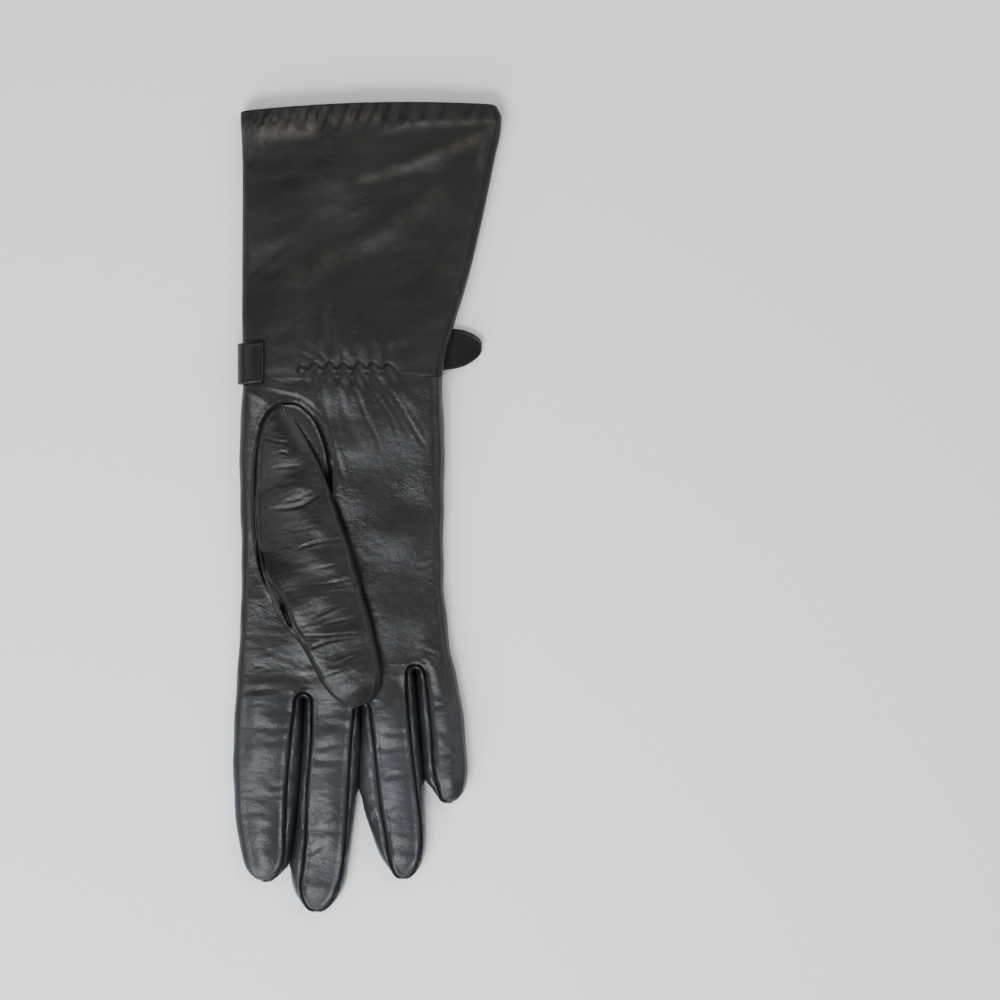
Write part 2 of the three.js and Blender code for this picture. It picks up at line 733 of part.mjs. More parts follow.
// The origin is under the middle of the whole glove, on the surface that it lies on
const extent = new THREE.Box3().setFromObject(glove);
const middle = extent.getCenter(new THREE.Vector3());
glove.children.forEach((mesh) => mesh.geometry.translate(-middle.x, -middle.y, -extent.min.z));

export default glove;
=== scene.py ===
import math

import bmesh
import bpy
import numpy as np
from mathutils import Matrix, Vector
from mathutils.bvhtree import BVHTree


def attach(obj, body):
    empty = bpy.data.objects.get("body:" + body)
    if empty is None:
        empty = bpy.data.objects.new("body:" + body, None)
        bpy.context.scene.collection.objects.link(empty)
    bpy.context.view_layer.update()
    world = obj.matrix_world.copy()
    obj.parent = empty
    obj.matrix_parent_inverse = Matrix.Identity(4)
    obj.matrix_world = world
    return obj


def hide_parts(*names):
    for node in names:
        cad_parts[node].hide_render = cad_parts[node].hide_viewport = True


# Long leather glove for the right hand, lying on its back with the palm up.
# All tables are in millimetres: x to the little finger, y to the mouth of the cuff, z up.
# makeMesh turns them into metres.

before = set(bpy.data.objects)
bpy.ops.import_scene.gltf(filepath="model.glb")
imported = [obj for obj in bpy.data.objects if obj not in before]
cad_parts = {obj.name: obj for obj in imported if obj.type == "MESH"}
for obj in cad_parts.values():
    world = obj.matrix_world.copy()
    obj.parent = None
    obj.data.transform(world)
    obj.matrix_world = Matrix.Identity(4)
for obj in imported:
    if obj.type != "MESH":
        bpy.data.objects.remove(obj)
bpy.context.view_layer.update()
millimetre = 0.001
centreShift = 0.03  # the part is centred this far to the right of the tables
farAway = 1e6
print("frame loaded")


def smoothstep(value, start, end):
    t = np.clip((np.asarray(value, float) - start) / (end - start), 0, 1)
    return t * t * (3 - 2 * t)


def mix(a, b, t):
    return a + (b - a) * t


# 1 between the two inner places, fading out to the outer ones
def stretch(value, outerStart, start, end, outerEnd):
    return smoothstep(value, outerStart, start) * (1 - smoothstep(value, end, outerEnd))


def hump(value, width):
    return np.exp(-((np.asarray(value, float) / width) ** 2))


# Angles of a quarter turn, and of any turn given in degrees
def quarter(count, start=0):
    return np.linspace(start, math.pi / 2, count)


def turn(start, end, count):
    return np.radians(np.linspace(start, end, count))


# Smooth way from one value to the next, with a slope at each
def easeBetween(start, end, startSlope, endSlope, t):
    return (
        start * (1 + 2 * t) * (1 - t) ** 2
        + startSlope * t * (1 - t) ** 2
        + end * t * t * (3 - 2 * t)
        + endSlope * t * t * (t - 1)
    )


# Reads smoothly between the rows of a table. With a tip, the columns open out round it.
def smoothTable(names, rows, tip=None):
    table = np.array(rows, float)

    def keyOf(at):
        return at if tip is None else np.sqrt(np.maximum(at - tip, 0))

    keys = keyOf(table[:, 0])
    slopes = np.gradient(table, keys, axis=0)

    def read(at):
        at = np.clip(keyOf(np.asarray(at, float)), keys[0], keys[-1])
        i = np.clip(np.searchsorted(keys, at) - 1, 0, len(keys) - 2)
        span = (keys[i + 1] - keys[i])[..., None]
        t = (at - keys[i])[..., None] / span
        value = easeBetween(table[i], table[i + 1], slopes[i] * span, slopes[i + 1] * span, t)
        return {name: value[..., k + 1] for k, name in enumerate(names)}

    return read


def smoothLine(points):
    points = np.array(points, float)
    if len(points) < 3:
        return points
    pointsPerSpan = 6
    slopes = np.gradient(points, axis=0)
    made = [
        easeBetween(points[i], points[i + 1], slopes[i], slopes[i + 1], t)
        for i in range(len(points) - 1)
        for t in np.linspace(0, 1, pointsPerSpan, endpoint=False)
    ]
    return np.array(made + [points[-1]])


# Distance from each place to a line. If asked, also how far along it the nearest point is, from 0 to 1
def lineDistance(x, y, line, withPlace=False):
    line = np.array(line, float)
    steps = np.hypot(*(line[1:] - line[:-1]).T)
    total = steps.sum()
    best = np.full(x.shape, farAway)
    along = np.zeros(x.shape)
    passed = 0
    for a, b, step in zip(line[:-1], line[1:], steps):
        way = b - a
        t = np.clip(((x - a[0]) * way[0] + (y - a[1]) * way[1]) / (step**2 + 1e-12), 0, 1)
        away = np.hypot(x - a[0] - t * way[0], y - a[1] - t * way[1])
        closer = away < best
        best = np.where(closer, away, best)
        along = np.where(closer, (passed + t * step) / total, along)
        passed += step
    return (best, along) if withPlace else best


# Soft waves in many directions. The spread of directions is set in degrees round the main one.
def makeWaves(seed, count, shortest, longest, direction=0, spread=180):
    draw = np.random.default_rng(seed)
    angles = np.radians(direction + draw.uniform(-spread, spread, count))
    lengths = draw.uniform(shortest, longest, count)
    starts = draw.uniform(0, 2 * math.pi, count)

    def waves(x, y):
        total = 0
        for angle, length, start in zip(angles, lengths, starts):
            across = x * math.cos(angle) + y * math.sin(angle)
            total = total + np.sin(across * 2 * math.pi / length + start)
        return total / math.sqrt(count / 2)

    return waves


# Creases: each has a line, a depth (negative for a ridge) and a width. The ends fade out.
def makeCreases(creases):
    lines = [(smoothLine(line), depth, width) for line, depth, width in creases]

    def creased(x, y):
        total = np.zeros(np.shape(x))
        for line, depth, width in lines:
            lowX, lowY = line.min(axis=0) - width * 4
            highX, highY = line.max(axis=0) + width * 4
            near = (x > lowX) & (x < highX) & (y > lowY) & (y < highY)
            if not near.any():
                continue
            away, along = lineDistance(x[near], y[near], line, withPlace=True)
            fade = np.sin(math.pi * np.clip(along, 0.01, 0.99)) ** 0.75
            shape = hump(away, width)
            if depth > 0:  # a groove has a low ridge on both sides
                shape = shape - 0.35 * hump(away - 1.9 * width, width)
            total[near] -= depth * fade * shape
        return total

    return creased


def randomCreases(seed, count, boxX, boxY, lengths, slant, depth, width):
    draw = np.random.default_rng(seed)
    made = []
    for _ in range(count):
        x = draw.uniform(*boxX)
        y = draw.uniform(*boxY)
        half = draw.uniform(*lengths) / 2
        angle = math.radians(draw.normal(slant, 9))
        bend = draw.uniform(-0.5, 0.5)
        overX, overY = half * math.cos(angle), half * math.sin(angle)
        line = [(x - overX, y - overY), (x, y + bend), (x + overX, y + overY)]
        made.append((line, draw.uniform(0.4, 1) * depth, draw.uniform(0.7, 1.2) * width))
    return made


# Points and faces of one piece while it is laid out, grid by grid
class Sheet:
    def __init__(self, grid=None, wrap=False):
        self.points = []
        self.faces = []
        self.count = 0
        if grid is not None:
            self.add(grid, wrap)

    def add(self, grid, wrap=False):
        rows, columns, _ = np.shape(grid)
        across = columns if wrap else columns - 1
        i, j = np.meshgrid(np.arange(rows - 1), np.arange(across), indexing="ij")
        a = self.count + i * columns + j
        b = self.count + i * columns + (j + 1) % columns
        self.faces += np.stack([a, b, b + columns, a + columns], -1).reshape(-1, 4).tolist()
        self.points.append(np.reshape(grid, (-1, 3)))
        self.count += rows * columns


meshForm = {"weld": 0.01, "sharpAngle": 40}


def addObject(name, data):
    made = bpy.data.objects.new(name, data)
    bpy.context.scene.collection.objects.link(made)
    return made


# A turned sheet is laid out with its faces inward, and has an open side that hides which way is out
def makeMesh(name, sheet, material, thickness=0, turned=False):
    points = (np.concatenate(sheet.points) + [centreShift, 0, 0]) * millimetre
    mesh = bpy.data.meshes.new(name)
    mesh.from_pydata(points.tolist(), [], sheet.faces)
    work = bmesh.new()
    work.from_mesh(mesh)
    bmesh.ops.remove_doubles(work, verts=work.verts, dist=meshForm["weld"] * millimetre)
    bmesh.ops.dissolve_degenerate(work, dist=1e-7, edges=work.edges)
    bmesh.ops.delete(work, geom=[v for v in work.verts if not v.link_faces], context="VERTS")
    if turned:
        bmesh.ops.reverse_faces(work, faces=work.faces)
    else:
        bmesh.ops.recalc_face_normals(work, faces=work.faces)
    work.to_mesh(mesh)
    work.free()
    made = addObject(name, mesh)
    if thickness:
        wall = made.modifiers.new("leather", "SOLIDIFY")
        wall.thickness = thickness * millimetre
        wall.offset = -1
        wall.use_even_offset = False
        wall.use_rim = True
        mesh = bpy.data.meshes.new_from_object(made.evaluated_get(bpy.context.evaluated_depsgraph_get()))
        made.modifiers.clear()
        made.data = mesh
    mesh.materials.clear()
    mesh.materials.append(material)
    mesh.shade_smooth()
    mesh.set_sharp_from_angle(angle=math.radians(meshForm["sharpAngle"]))
    return made


def settle(piece, slot, *nodes):
    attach(piece, "root")
    if nodes:
        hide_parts(*nodes)
    return piece


# Starts a material. The first function adds a node and gives back one of its outputs, the second
# sets the shader. An input gets a link where its value is another node's output.
def startMaterial(name):
    material = bpy.data.materials.new(name)
    material.use_nodes = True
    tree = material.node_tree

    def setInputs(node, inputs):
        for key, value in inputs.items():
            if isinstance(value, bpy.types.NodeSocket):
                tree.links.new(value, node.inputs[key])
            else:
                node.inputs[key].default_value = value

    def add(kind, output, inputs, **settings):
        node = tree.nodes.new("ShaderNode" + kind)
        for key, value in settings.items():
            setattr(node, key, value)
        setInputs(node, inputs)
        return node.outputs[output]

    def setShader(inputs):
        setInputs(tree.nodes["Principled BSDF"], inputs)

    return material, add, setShader


leatherForm = {
    "toneRamp": (0.32, 0.72),  # where the dark and the pale tone begin
    "roughnessSpread": (-0.07, 0.08),
    "wrinkleDepth": 0.0012,
    "creaseDepth": 0.0005,
    "grainDepth": 0.0001,
    "poreDepth": 0.00005,
}


def leatherMaterial(name, look):
    material, add, setShader = startMaterial(name)
    place = add("TexCoord", "Object", {})

    def noise(scale, detail, roughness=0.55, squash=None):
        source = place
        if squash:
            source = add("Mapping", "Vector", {"Vector": place, "Scale": squash})
        return add("TexNoise", "Fac", {
            "Scale": scale, "Detail": detail, "Roughness": roughness, "Vector": source,
        })

    def cells(scale):
        return add(
            "TexVoronoi", "Distance", {"Scale": scale, "Randomness": 1, "Vector": place},
            feature="DISTANCE_TO_EDGE",
        )

    def remap(value, fromMin, fromMax, toMin=0, toMax=1):
        return add("MapRange", "Result", {
            "Value": value, "From Min": fromMin, "From Max": fromMax, "To Min": toMin, "To Max": toMax,
        })

    def blend(share, a, b):
        return add("Mix", "Result", {"Factor": share, "A": a, "B": b}, data_type="RGBA")

    # colour: dyed black with paler, rubbed places at random; below come the tones of one end and the
    # painted highlights
    patches = noise(look["patchScale"], 4)

    def tones(*shades):
        colour = add("ValToRGB", "Color", {"Fac": patches})
        elements = colour.node.color_ramp.elements
        for element, position, shade in zip(elements, leatherForm["toneRamp"], shades):
            element.position = position
            element.color = (*shade, 1)
        return colour

    colour = tones(look["dark"], look["pale"])
    if "endFrom" in look:  # one end of the piece has tones of its own: painted sheen on the fingers of the hand, darker towards the tip on the thumb
        share = remap(add("SeparateXYZ", "Y", {"Vector": place}), look["endFrom"], look["endTo"])
        colour = blend(share, colour, tones(look["endDark"], look["endPale"]))
    if "wearAndSheenTone" in look:  # rubbed places and painted highlights, stored on the piece as an attribute
        wearAndSheenMask = add("Attribute", "Fac", {}, attribute_name="wearAndSheen")
        mottle = remap(noise(look["patchScale"] * 6, 4), 0.35, 0.65, 0.35, 1.3)
        share = add("Math", "Value", {0: wearAndSheenMask, 1: mottle}, operation="MULTIPLY", use_clamp=True)
        colour = blend(share, colour, (*look["wearAndSheenTone"], 1))

    # roughness: smoother where the leather has been stretched and handled
    handled = noise(look["patchScale"] * 1.7, 5)
    spread = [look["roughness"] + more for more in leatherForm["roughnessSpread"]]
    roughness = remap(handled, 0.3, 0.7, *spread)

    # relief: shallow wrinkles and creases across the glove, fine grain and pores
    relief = (
        (noise(look["wrinkleScale"], 6, 0.6, (0.88, 1.15, 1)), look["wrinkle"], "wrinkleDepth"),
        (noise(look["wrinkleScale"] * 3.1, 5, 0.65, (0.85, 1.2, 1)), look["wrinkle"], "creaseDepth"),
        (cells(look["grainScale"]), look["grain"], "grainDepth"),
        (cells(look["grainScale"] * 2.7), look["grain"] * 0.7, "poreDepth"),
    )
    normal = {}
    for height, strength, depth in relief:
        inputs = {"Height": height, "Strength": strength, "Distance": leatherForm[depth], **normal}
        normal = {"Normal": add("Bump", "Normal", inputs)}
    setShader({
        "Base Color": colour, "Metallic": 0, "Roughness": roughness,
        "IOR": 1.5, "Specular IOR Level": look["gloss"], **normal,
    })
    return material


handLook = {
    "dark": (0.0046, 0.0046, 0.0049),
    "pale": (0.0098, 0.0099, 0.0106),
    "endFrom": -0.068,  # painted sheen: the fingers are paler and cooler, from here on
    "endTo": -0.1,
    "endDark": (0.0105, 0.0118, 0.0152),
    "endPale": (0.0255, 0.028, 0.0342),
    "gloss": 0.41,
    "roughness": 0.37,
    "patchScale": 34,
    "grainScale": 1500,
    "grain": 0.42,
    "wrinkleScale": 105,
    "wrinkle": 0.38,
}
plainLook = {key: value for key, value in handLook.items() if not key.startswith("end")}
# cuff: its paler brownish tone marks rubbed places and painted highlights
cuffLook = dict(
    plainLook, dark=(0.006, 0.0058, 0.0054), pale=(0.0115, 0.011, 0.0102), wearAndSheenTone=(0.05, 0.0455, 0.041),
    roughness=0.47, gloss=0.3, wrinkle=0.25,
)
strapLook = dict(
    plainLook, dark=(0.005, 0.005, 0.0054), pale=(0.009, 0.009, 0.0098), gloss=0.27, wrinkle=0.2,
)
sideLook = dict(handLook, roughness=0.36, wrinkle=0.3)
thumbLook = dict(
    handLook, dark=(0.0058, 0.0058, 0.0058), pale=(0.0135, 0.0135, 0.0136), endFrom=-0.03, endTo=-0.07,
    endDark=(0.0048, 0.0048, 0.005), endPale=(0.0098, 0.0098, 0.0102), gloss=0.36, wrinkle=0.4,
)

handLeather = leatherMaterial("handLeather", handLook)
thumbLeather = leatherMaterial("thumbLeather", thumbLook)
sideLeather = leatherMaterial("sideLeather", sideLook)
cuffLeather = leatherMaterial("cuffLeather", cuffLook)
strapLeather = leatherMaterial("strapLeather", strapLook)


def threadMaterial():
    material, add, setShader = startMaterial("blackThread")
    place = add("TexCoord", "Object", {})
    twist = add("TexWave", "Fac", {"Scale": 1600, "Distortion": 1.5, "Vector": place})
    bump = add("Bump", "Normal", {"Strength": 0.6, "Distance": 0.0001, "Height": twist})
    setShader({"Base Color": (0.006, 0.006, 0.007, 1), "Roughness": 0.6, "Normal": bump})
    return material


blackThread = threadMaterial()
print("leather ready")

# The glove's form, shared by its pieces
gloveForm = {
    "leather": 1,  # thickness of the wall
    "palmHeight": 8.6,
    "palmCrown": 1.2,
    "wristHeight": 13,
    "wristCrown": 0.2,
    "cuffHeight": 9.4,
    "cuffCrown": 1,
    "fingerHeight": 8.6,
    "fingerCrown": 0.9,
    "wristLow": 3.6,  # underside of the wrist, above its strap
    "wristSeam": 52.2,
    "mouth": 159,
    "spacing": 0.95,  # between two points of the leather
    "palmRowsTo": -78,  # from here on each finger has its own rows
    # where one form changes into the next, along the glove
    "toWrist": (-36, 52),
    "nearWrist": (8, 50),
    "overStrap": (34, 47.5, 76, 90),
    "toCuff": (62, 100),
    "toFinger": (-67, -56),
    "toFingerFold": (-74, -40),
    "toFingerRound": (-74, -42),
    "toFingerCrown": (-84, -68),
    "tuck": 1.25,  # how far the hand's end goes in under the edge of the cuff
}
wristSeam = gloveForm["wristSeam"]
mouth = gloveForm["mouth"]

handOutline = smoothTable(["left", "right"], [
    [-68, -52.1, 34.6], [-59, -51.7, 33.4], [-46, -51, 31.9], [-34, -50.7, 30.7], [-17, -50.6, 30.4],
    [8, -51.2, 30.7], [30, -51.1, 30.9], [42, -50.3, 30.2], [48, -49.9, 30.1], [56, -49.8, 30.3],
])

fingerTips = {"index": -149.8, "middle": -161.8, "ring": -148.6, "little": -118.2}
fingerOrder = ["index", "middle", "ring", "little"]
fingerTables = {  # y, then x of the left side, left seam, right seam and right side
    "index": [
        [-149.8, -42.8, -42.3, -40.5, -40.1], [-148.2, -46.2, -43.9, -37.2, -36.1],
        [-145.4, -48.4, -45, -34.8, -33], [-140.2, -50.3, -46, -33.4, -31.1],
        [-129.4, -52.4, -48, -33, -29.4], [-113.4, -53.7, -49.2, -32.4, -27.9],
        [-93.4, -53.8, -49.4, -30.8, -26.6], [-77.4, -53, -48.8, -29, -25.9], [-55, -51.5, -47, -30, -27],
    ],
    "middle": [
        [-161.8, -21.7, -21.2, -19.4, -18.9], [-160.4, -24.8, -24, -16.5, -15.6],
        [-157.4, -27.5, -25.7, -13.9, -12.4], [-151.4, -30.2, -26.6, -11.4, -9.2],
        [-142.2, -30.7, -25.4, -9.6, -7.5], [-131.4, -29, -24.6, -8.6, -6],
        [-109.4, -26.9, -23.8, -7.4, -4], [-93.4, -25.7, -22.4, -6.4, -3.2], [-77.4, -25, -22.2, -5, -3],
        [-55, -24, -21.4, -5.6, -3],
    ],
    "ring": [
        [-148.6, 12.9, 13.3, 15.2, 15.6], [-147, 10.1, 11, 17.8, 18.7], [-144.2, 7.8, 9.7, 19.8, 21.1],
        [-139.4, 4.8, 8.5, 21.2, 22.8], [-131.4, 1.8, 7.4, 21.6, 23.4], [-119.4, -1.9, 5.4, 20.6, 22.8],
        [-109.4, -3.2, 4.2, 19.2, 21.8], [-93.4, -2.4, 2.6, 17.4, 20.9], [-77.4, -2.2, 0.8, 16, 19.6],
        [-63.4, -1.8, 1, 15.6, 18.4], [-45, -1.4, 1.2, 15.4, 17.6],
    ],
    "little": [
        [-118.2, 31.5, 31.9, 33.8, 34.2], [-117, 28.6, 29.5, 35.6, 36.6], [-114.4, 26.6, 28.8, 36.6, 38.6],
        [-109, 24, 27.2, 37, 39.9], [-100, 22.6, 26.2, 36, 39.8], [-91.4, 21.7, 25.8, 35.2, 39.2],
        [-76.6, 20.4, 24.2, 33.4, 37.4], [-64, 19.5, 22.7, 31.1, 34.8], [-57, 19.1, 22.2, 29.4, 33.2],
        [-45, 18.6, 21.4, 27, 31.8],
    ],
}
fingers = {
    name: smoothTable(["left", "seamLeft", "seamRight", "right"], rows, fingerTips[name])
    for name, rows in fingerTables.items()
}
fingerEnd = {
    "length": 10,  # over which a finger's end is rounded
    "thin": 0.22,  # share of the height left at the very end
    "lift": 0.42,
    "closeRows": 8,  # length with rows closer together
}

# Slots between the fingers: where each begins, and the line of columns that runs up the palm from it
slots = {
    "index_middle": {"fingers": ("index", "middle"), "crotch": (-25.5, -74.6), "wristX": -23.5},
    "middle_ring": {"fingers": ("middle", "ring"), "crotch": (-2.6, -77.4), "wristX": -4.5},
    "ring_little": {"fingers": ("ring", "little"), "crotch": (19, -63.4), "wristX": 13.5},
}
slotArch = 4  # length over which a slot's round top opens out

# How leather dips into a seam and rolls up beside it
seamShapes = {  # depth and width of the groove, then height, place and width of the rim
    "slot": (0.9, 0.4, 0.42, 1.2, 0.65),
    "thumbHole": (0.7, 0.42, 0.62, 1.35, 0.66),
    "thumbSide": (0.7, 0.6, 0.25, 1.5, 0.8),
    "thumbRim": (0.14, 0.5, 0.42, -0.9, 0.36),
    "hem": (0.14, 0.8, 0.1, 2, 1.4),
    "wristEdge": (0.5, 0.22, 0.125, 1.5, 0.9),
    "cuffSide": (0.55, 0.45, 0.16, 1.2, 0.7),
}


def seamDip(away, seam):
    depth, width, rim, rimAt, rimWidth = seamShapes[seam]
    return rim * hump(away - rimAt, rimWidth) - depth * hump(away, width)


# Edge of the thumb hole, once round from its apex. The thumb covers the lower half.
thumbHole = [
    (-32.2, 41.4), (-36.8, 39.4), (-40.6, 35.4), (-43.4, 27), (-44.7, 13.4), (-45.1, -1.8), (-44.4, -13.4),
    (-42.9, -22.6), (-39.4, -31.4), (-34, -38), (-28.4, -39.6), (-22.8, -36.4), (-18.6, -26),
    (-16, -10), (-15, 9.4), (-15.4, 17.4), (-17, 25.8), (-20.6, 34.2), (-26.2, 40),
]
holePointsPerSpan = 12


def closedCurve(points, perSpan):
    points = np.array(points, float)
    before, after, beyond = (np.roll(points, -k, axis=0) for k in (-1, 1, 2))
    made = []
    for p0, p1, p2, p3 in zip(before, points, after, beyond):
        for t in np.linspace(0, 1, perSpan, endpoint=False):
            made.append(0.5 * (
                2 * p1 + (p2 - p0) * t + (2 * p0 - 5 * p1 + 4 * p2 - p3) * t**2
                + (3 * p1 - p0 - 3 * p2 + p3) * t**3
            ))
    return np.array(made)


# Underside, upper side and crown of the glove at a place along it
def heights(y):
    g = gloveForm
    toWrist = mix(smoothstep(y, *g["toWrist"]), smoothstep(y, *g["nearWrist"]), 0.35)
    overStrap = stretch(y, *g["overStrap"])
    toCuff = smoothstep(y, *g["toCuff"])
    low = g["wristLow"] * overStrap
    high = mix(mix(g["palmHeight"], g["wristHeight"], toWrist), g["cuffHeight"], toCuff)
    crown = mix(mix(g["palmCrown"], g["wristCrown"], toWrist), g["cuffCrown"], toCuff)
    return low, high, crown


gatherForm = {
    "from": -28,
    "to": 12,
    "pleats": 7,
    "height": 0.36,
    "handReach": 6.5,
    "cuffReach": 3,
    "fan": 0.016,  # how fast the pleats spread over the palm
    "waist": 0.6,
    "waistReach": 5,
    "waistWidth": 26,
    "drift": 0.1,
}


def gathers(x, y):
    g = gatherForm
    fan = 1 + g["fan"] * np.maximum(wristSeam - y, 0)
    t = (x - g["from"]) / (g["to"] - g["from"]) / fan
    away = np.abs(y - wristSeam)
    aside = x - (g["from"] + g["to"]) / 2
    waist = -g["waist"] * np.exp(-((away / g["waistReach"]) ** 2) - (aside / g["waistWidth"]) ** 2)
    inside = (t > 0) & (t < 1)
    envelope = np.sqrt(np.clip(np.sin(math.pi * np.clip(t, 0, 1)), 0, 1))
    drift = g["drift"] * np.sin(y * 0.23 + x * 0.31)
    pleats = np.cos(2 * math.pi * (g["pleats"] * t + drift * smoothstep(away, 1, 10)))
    fade = np.exp(-away / np.where(y < wristSeam, g["handReach"], g["cuffReach"]))
    return waist + np.where(inside, g["height"] * fade * envelope * pleats, 0)


def tuck(y):
    return gloveForm["tuck"] * smoothstep(y, wristSeam - 0.42, wristSeam - 0.1)


# How much of a finger's roundness is reached, its underside and its height, towards its end
def fingerShape(y, name):
    full = gloveForm["fingerHeight"]
    reach = np.clip((y - fingerTips[name]) / fingerEnd["length"], 0.02, 1)
    rounded = np.sqrt(1 - (1 - reach) ** 2)
    height = mix(fingerEnd["thin"], 1, rounded) * full
    return rounded, (full - height) * fingerEnd["lift"], height


def fingerEdge(name, y, side):
    return fingers[name](np.maximum(y, fingerTips[name]))[side]


# The two seams of a slot: x of its left and right side at a place along the glove
def slotSides(slot, y):
    crotchX, crotchY = slot["crotch"]
    upPalm = mix(crotchX, slot["wristX"], smoothstep(y, crotchY, wristSeam))
    t = np.clip((crotchY - y) / slotArch, 0, 1)
    opening = np.sqrt(np.clip(1 - (1 - t) ** 2, 0, 1))
    seams = zip(slot["fingers"], ("seamRight", "seamLeft"))
    return [mix(upPalm, fingerEdge(name, y, seam), opening) for name, seam in seams]


def archRows(crotchY, count):
    return crotchY - slotArch * (1 - np.cos(quarter(count)))


# Along the edge of a slot, from one fingertip up to the crotch and down to the next fingertip
def slotPath(slot):
    step = 1.2
    crotchY = slot["crotch"][1]
    sides = []
    for k, name in enumerate(slot["fingers"]):
        tip, close = fingerTips[name], fingerEnd["closeRows"]
        body = np.arange(crotchY - slotArch - step, tip + close, -step)
        nearTip = tip + close * (1 - np.sin(quarter(12, 0.12)))
        y = np.concatenate([archRows(crotchY, 12)[k:], body, nearTip])
        sides.append(np.stack([slotSides(slot, y)[k], y], -1))
    return np.concatenate([sides[0][::-1], sides[1]])


slotPaths = {name: slotPath(slot) for name, slot in slots.items()}
holeLine = closedCurve(thumbHole, holePointsPerSpan)
holeLoop = np.concatenate([holeLine, holeLine[:1]])


# The thumb hole's edge in two lines: down its left side from the apex, and up its right side
def holeSides():
    line = np.roll(holeLine, -int(np.argmax(holeLine[:, 1])), axis=0)
    lowest = int(np.argmin(line[:, 1]))
    return line[: lowest + 1], line[lowest:]


def insideHole(x, y):
    inside = np.zeros(np.shape(x), bool)
    for a, b in zip(holeLoop[:-1], holeLoop[1:]):
        crosses = (a[1] > y) != (b[1] > y)
        at = a[0] + (y - a[1]) * (b[0] - a[0]) / (b[1] - a[1] + 1e-12)
        inside ^= crosses & (x < at)
    return inside


def slotDistance(x, y):
    away = np.full(np.shape(x), farAway)
    for path in slotPaths.values():
        away = np.minimum(away, lineDistance(x, y, path))
    return away


# The hand: palm, back and fingers in one skin
handFolds = {
    "waves": 0.3,
    "ripples": 0.07,
    "fineRipples": 0.02,
    "underside": 0.25,
    "calmWithin": 2.4,  # distance from a seam within which the leather is held still
    "grooves": [  # a line, its depth (negative for a ridge) and its width
        ([(-18.2, 54.6), (-19, 49.8), (-19.8, 45)], 0.45, 0.9),
        ([(-17.8, 49), (-16.2, 38.6), (-14.2, 27.8), (-11, 16.6), (-7, 3.4)], 0.26, 0.7),
        ([(-12.6, 51.4), (-10.2, 44.2), (-9, 34.6)], 0.24, 0.6),
        ([(-5.4, 50.6), (-3, 42.6), (-0.6, 36.2), (3.4, 27.8), (6, 21)], 0.32, 0.6),
        ([(0.2, 50.6), (5, 42.6), (9.8, 34.6), (13.4, 24.6)], 0.26, 0.6),
        ([(5.4, 51.8), (12.2, 41.8), (17.4, 33), (24, 22)], 0.38, 0.65),
        ([(-9.8, 43.4), (-6.2, 30.6), (-2.2, 21.8)], 0.2, 1.9),
        ([(29.4, -21.4), (23, -23.8), (19, -24.6)], 0.3, 1),
        ([(22.2, -57), (27.4, -59.8), (32.2, -62.2)], 0.35, 1.1),
        ([(-52.2, -75), (-42.2, -73.4), (-31.4, -72.6)], 0.3, 1.2),
        ([(-52.6, -53.4), (-47, -51.8), (-42.2, -52.2)], 0.2, 1.2), ([(23, -33.4), (29.4, -31)], 0.25, 1),
        ([(24.2, -39), (29.8, -37.4)], 0.2, 1), ([(-21.4, -97.4), (-15, -95.8), (-8.6, -94.6)], 0.35, 1.1),
        ([(-22.6, -101), (-15.8, -101.8), (-9.4, -101)], 0.5, 1.2),
        ([(-18.2, -125.8), (-13.4, -124.6), (-9.8, -123)], 0.3, 1),
        ([(-23.8, -139), (-19.8, -136.6), (-16.2, -133.8)], 0.35, 1.1),
        ([(-1, -95.8), (8.2, -96.6), (16.2, -95.8)], 0.3, 1.1),
        ([(4.2, -89.8), (10.6, -90.6), (16.2, -90.2)], 0.45, 1),
        ([(6.2, -107.8), (12.2, -107.4), (18.2, -106.6)], 0.25, 1),
        ([(7.4, -121.8), (10.2, -120.2), (13, -118.2)], 0.3, 1),
        ([(-43, -88.6), (-37, -89), (-31.4, -88.6)], 0.3, 1),
        ([(-41.8, -94.6), (-36.2, -94.2), (-31.4, -93)], 0.3, 1),
        ([(-39.8, -111.8), (-36.6, -112.2), (-33.4, -111.8)], 0.4, 1.1),
        ([(-37.8, -115.4), (-35, -115.4), (-32.6, -115)], 0.25, 1),
        ([(24.6, -80.2), (29, -79.8), (32.2, -79)], 0.3, 1),
        ([(30.2, -99.4), (33.4, -98.6), (36.2, -97.8)], 0.35, 1.1),
    ],
    "ridges": [
        ([(-41.8, 48.6), (-32.6, 46.6), (-26.2, 44.6), (-21.4, 41.4), (-18.2, 36.6)], -1, 1.3),
        ([(-34.2, 49.4), (-26.2, 48.2), (-21.4, 45.8)], -0.4, 1.3),
        ([(-49.4, 46.6), (-43.8, 44.2), (-38.6, 41)], -0.7, 1.2),
        ([(10.2, 48.6), (17, 42.6), (23, 36.6)], -0.35, 2.4),
    ],
    "bulges": [  # x, y, half width, half length, height
        (-1, 22, 9, 7.5, 1.2), (19, 16, 8, 8, -0.5), (14, -13, 13, 10, 1), (23, 41, 8, 9, 0.8),
        (20, -42, 8, 9, 0.6), (-40, -60, 9, 6, 0.4), (-44, -80, 9, 14, 0.6), (-14, -92, 6, 5, 0.4),
        (-15, -118, 5, 12, 0.35), (10, -82, 6, 5, 0.35), (13, -114, 5, 9, 0.35), (-40, -128, 5, 9, 0.45),
        (-40.5, -142, 5, 5, 0.35), (-19, -153, 5, 5, 0.45), (14, -139, 4.5, 6, 0.35),
        (32, -110, 4, 5, 0.35),
    ],
}
handWaves = makeWaves(11, 16, 16, 42)
handRipples = makeWaves(12, 18, 5, 13, direction=90, spread=28)
fineRipples = makeWaves(13, 22, 2.6, 5.5, direction=90, spread=35)
rippleStrength = makeWaves(14, 12, 14, 34)
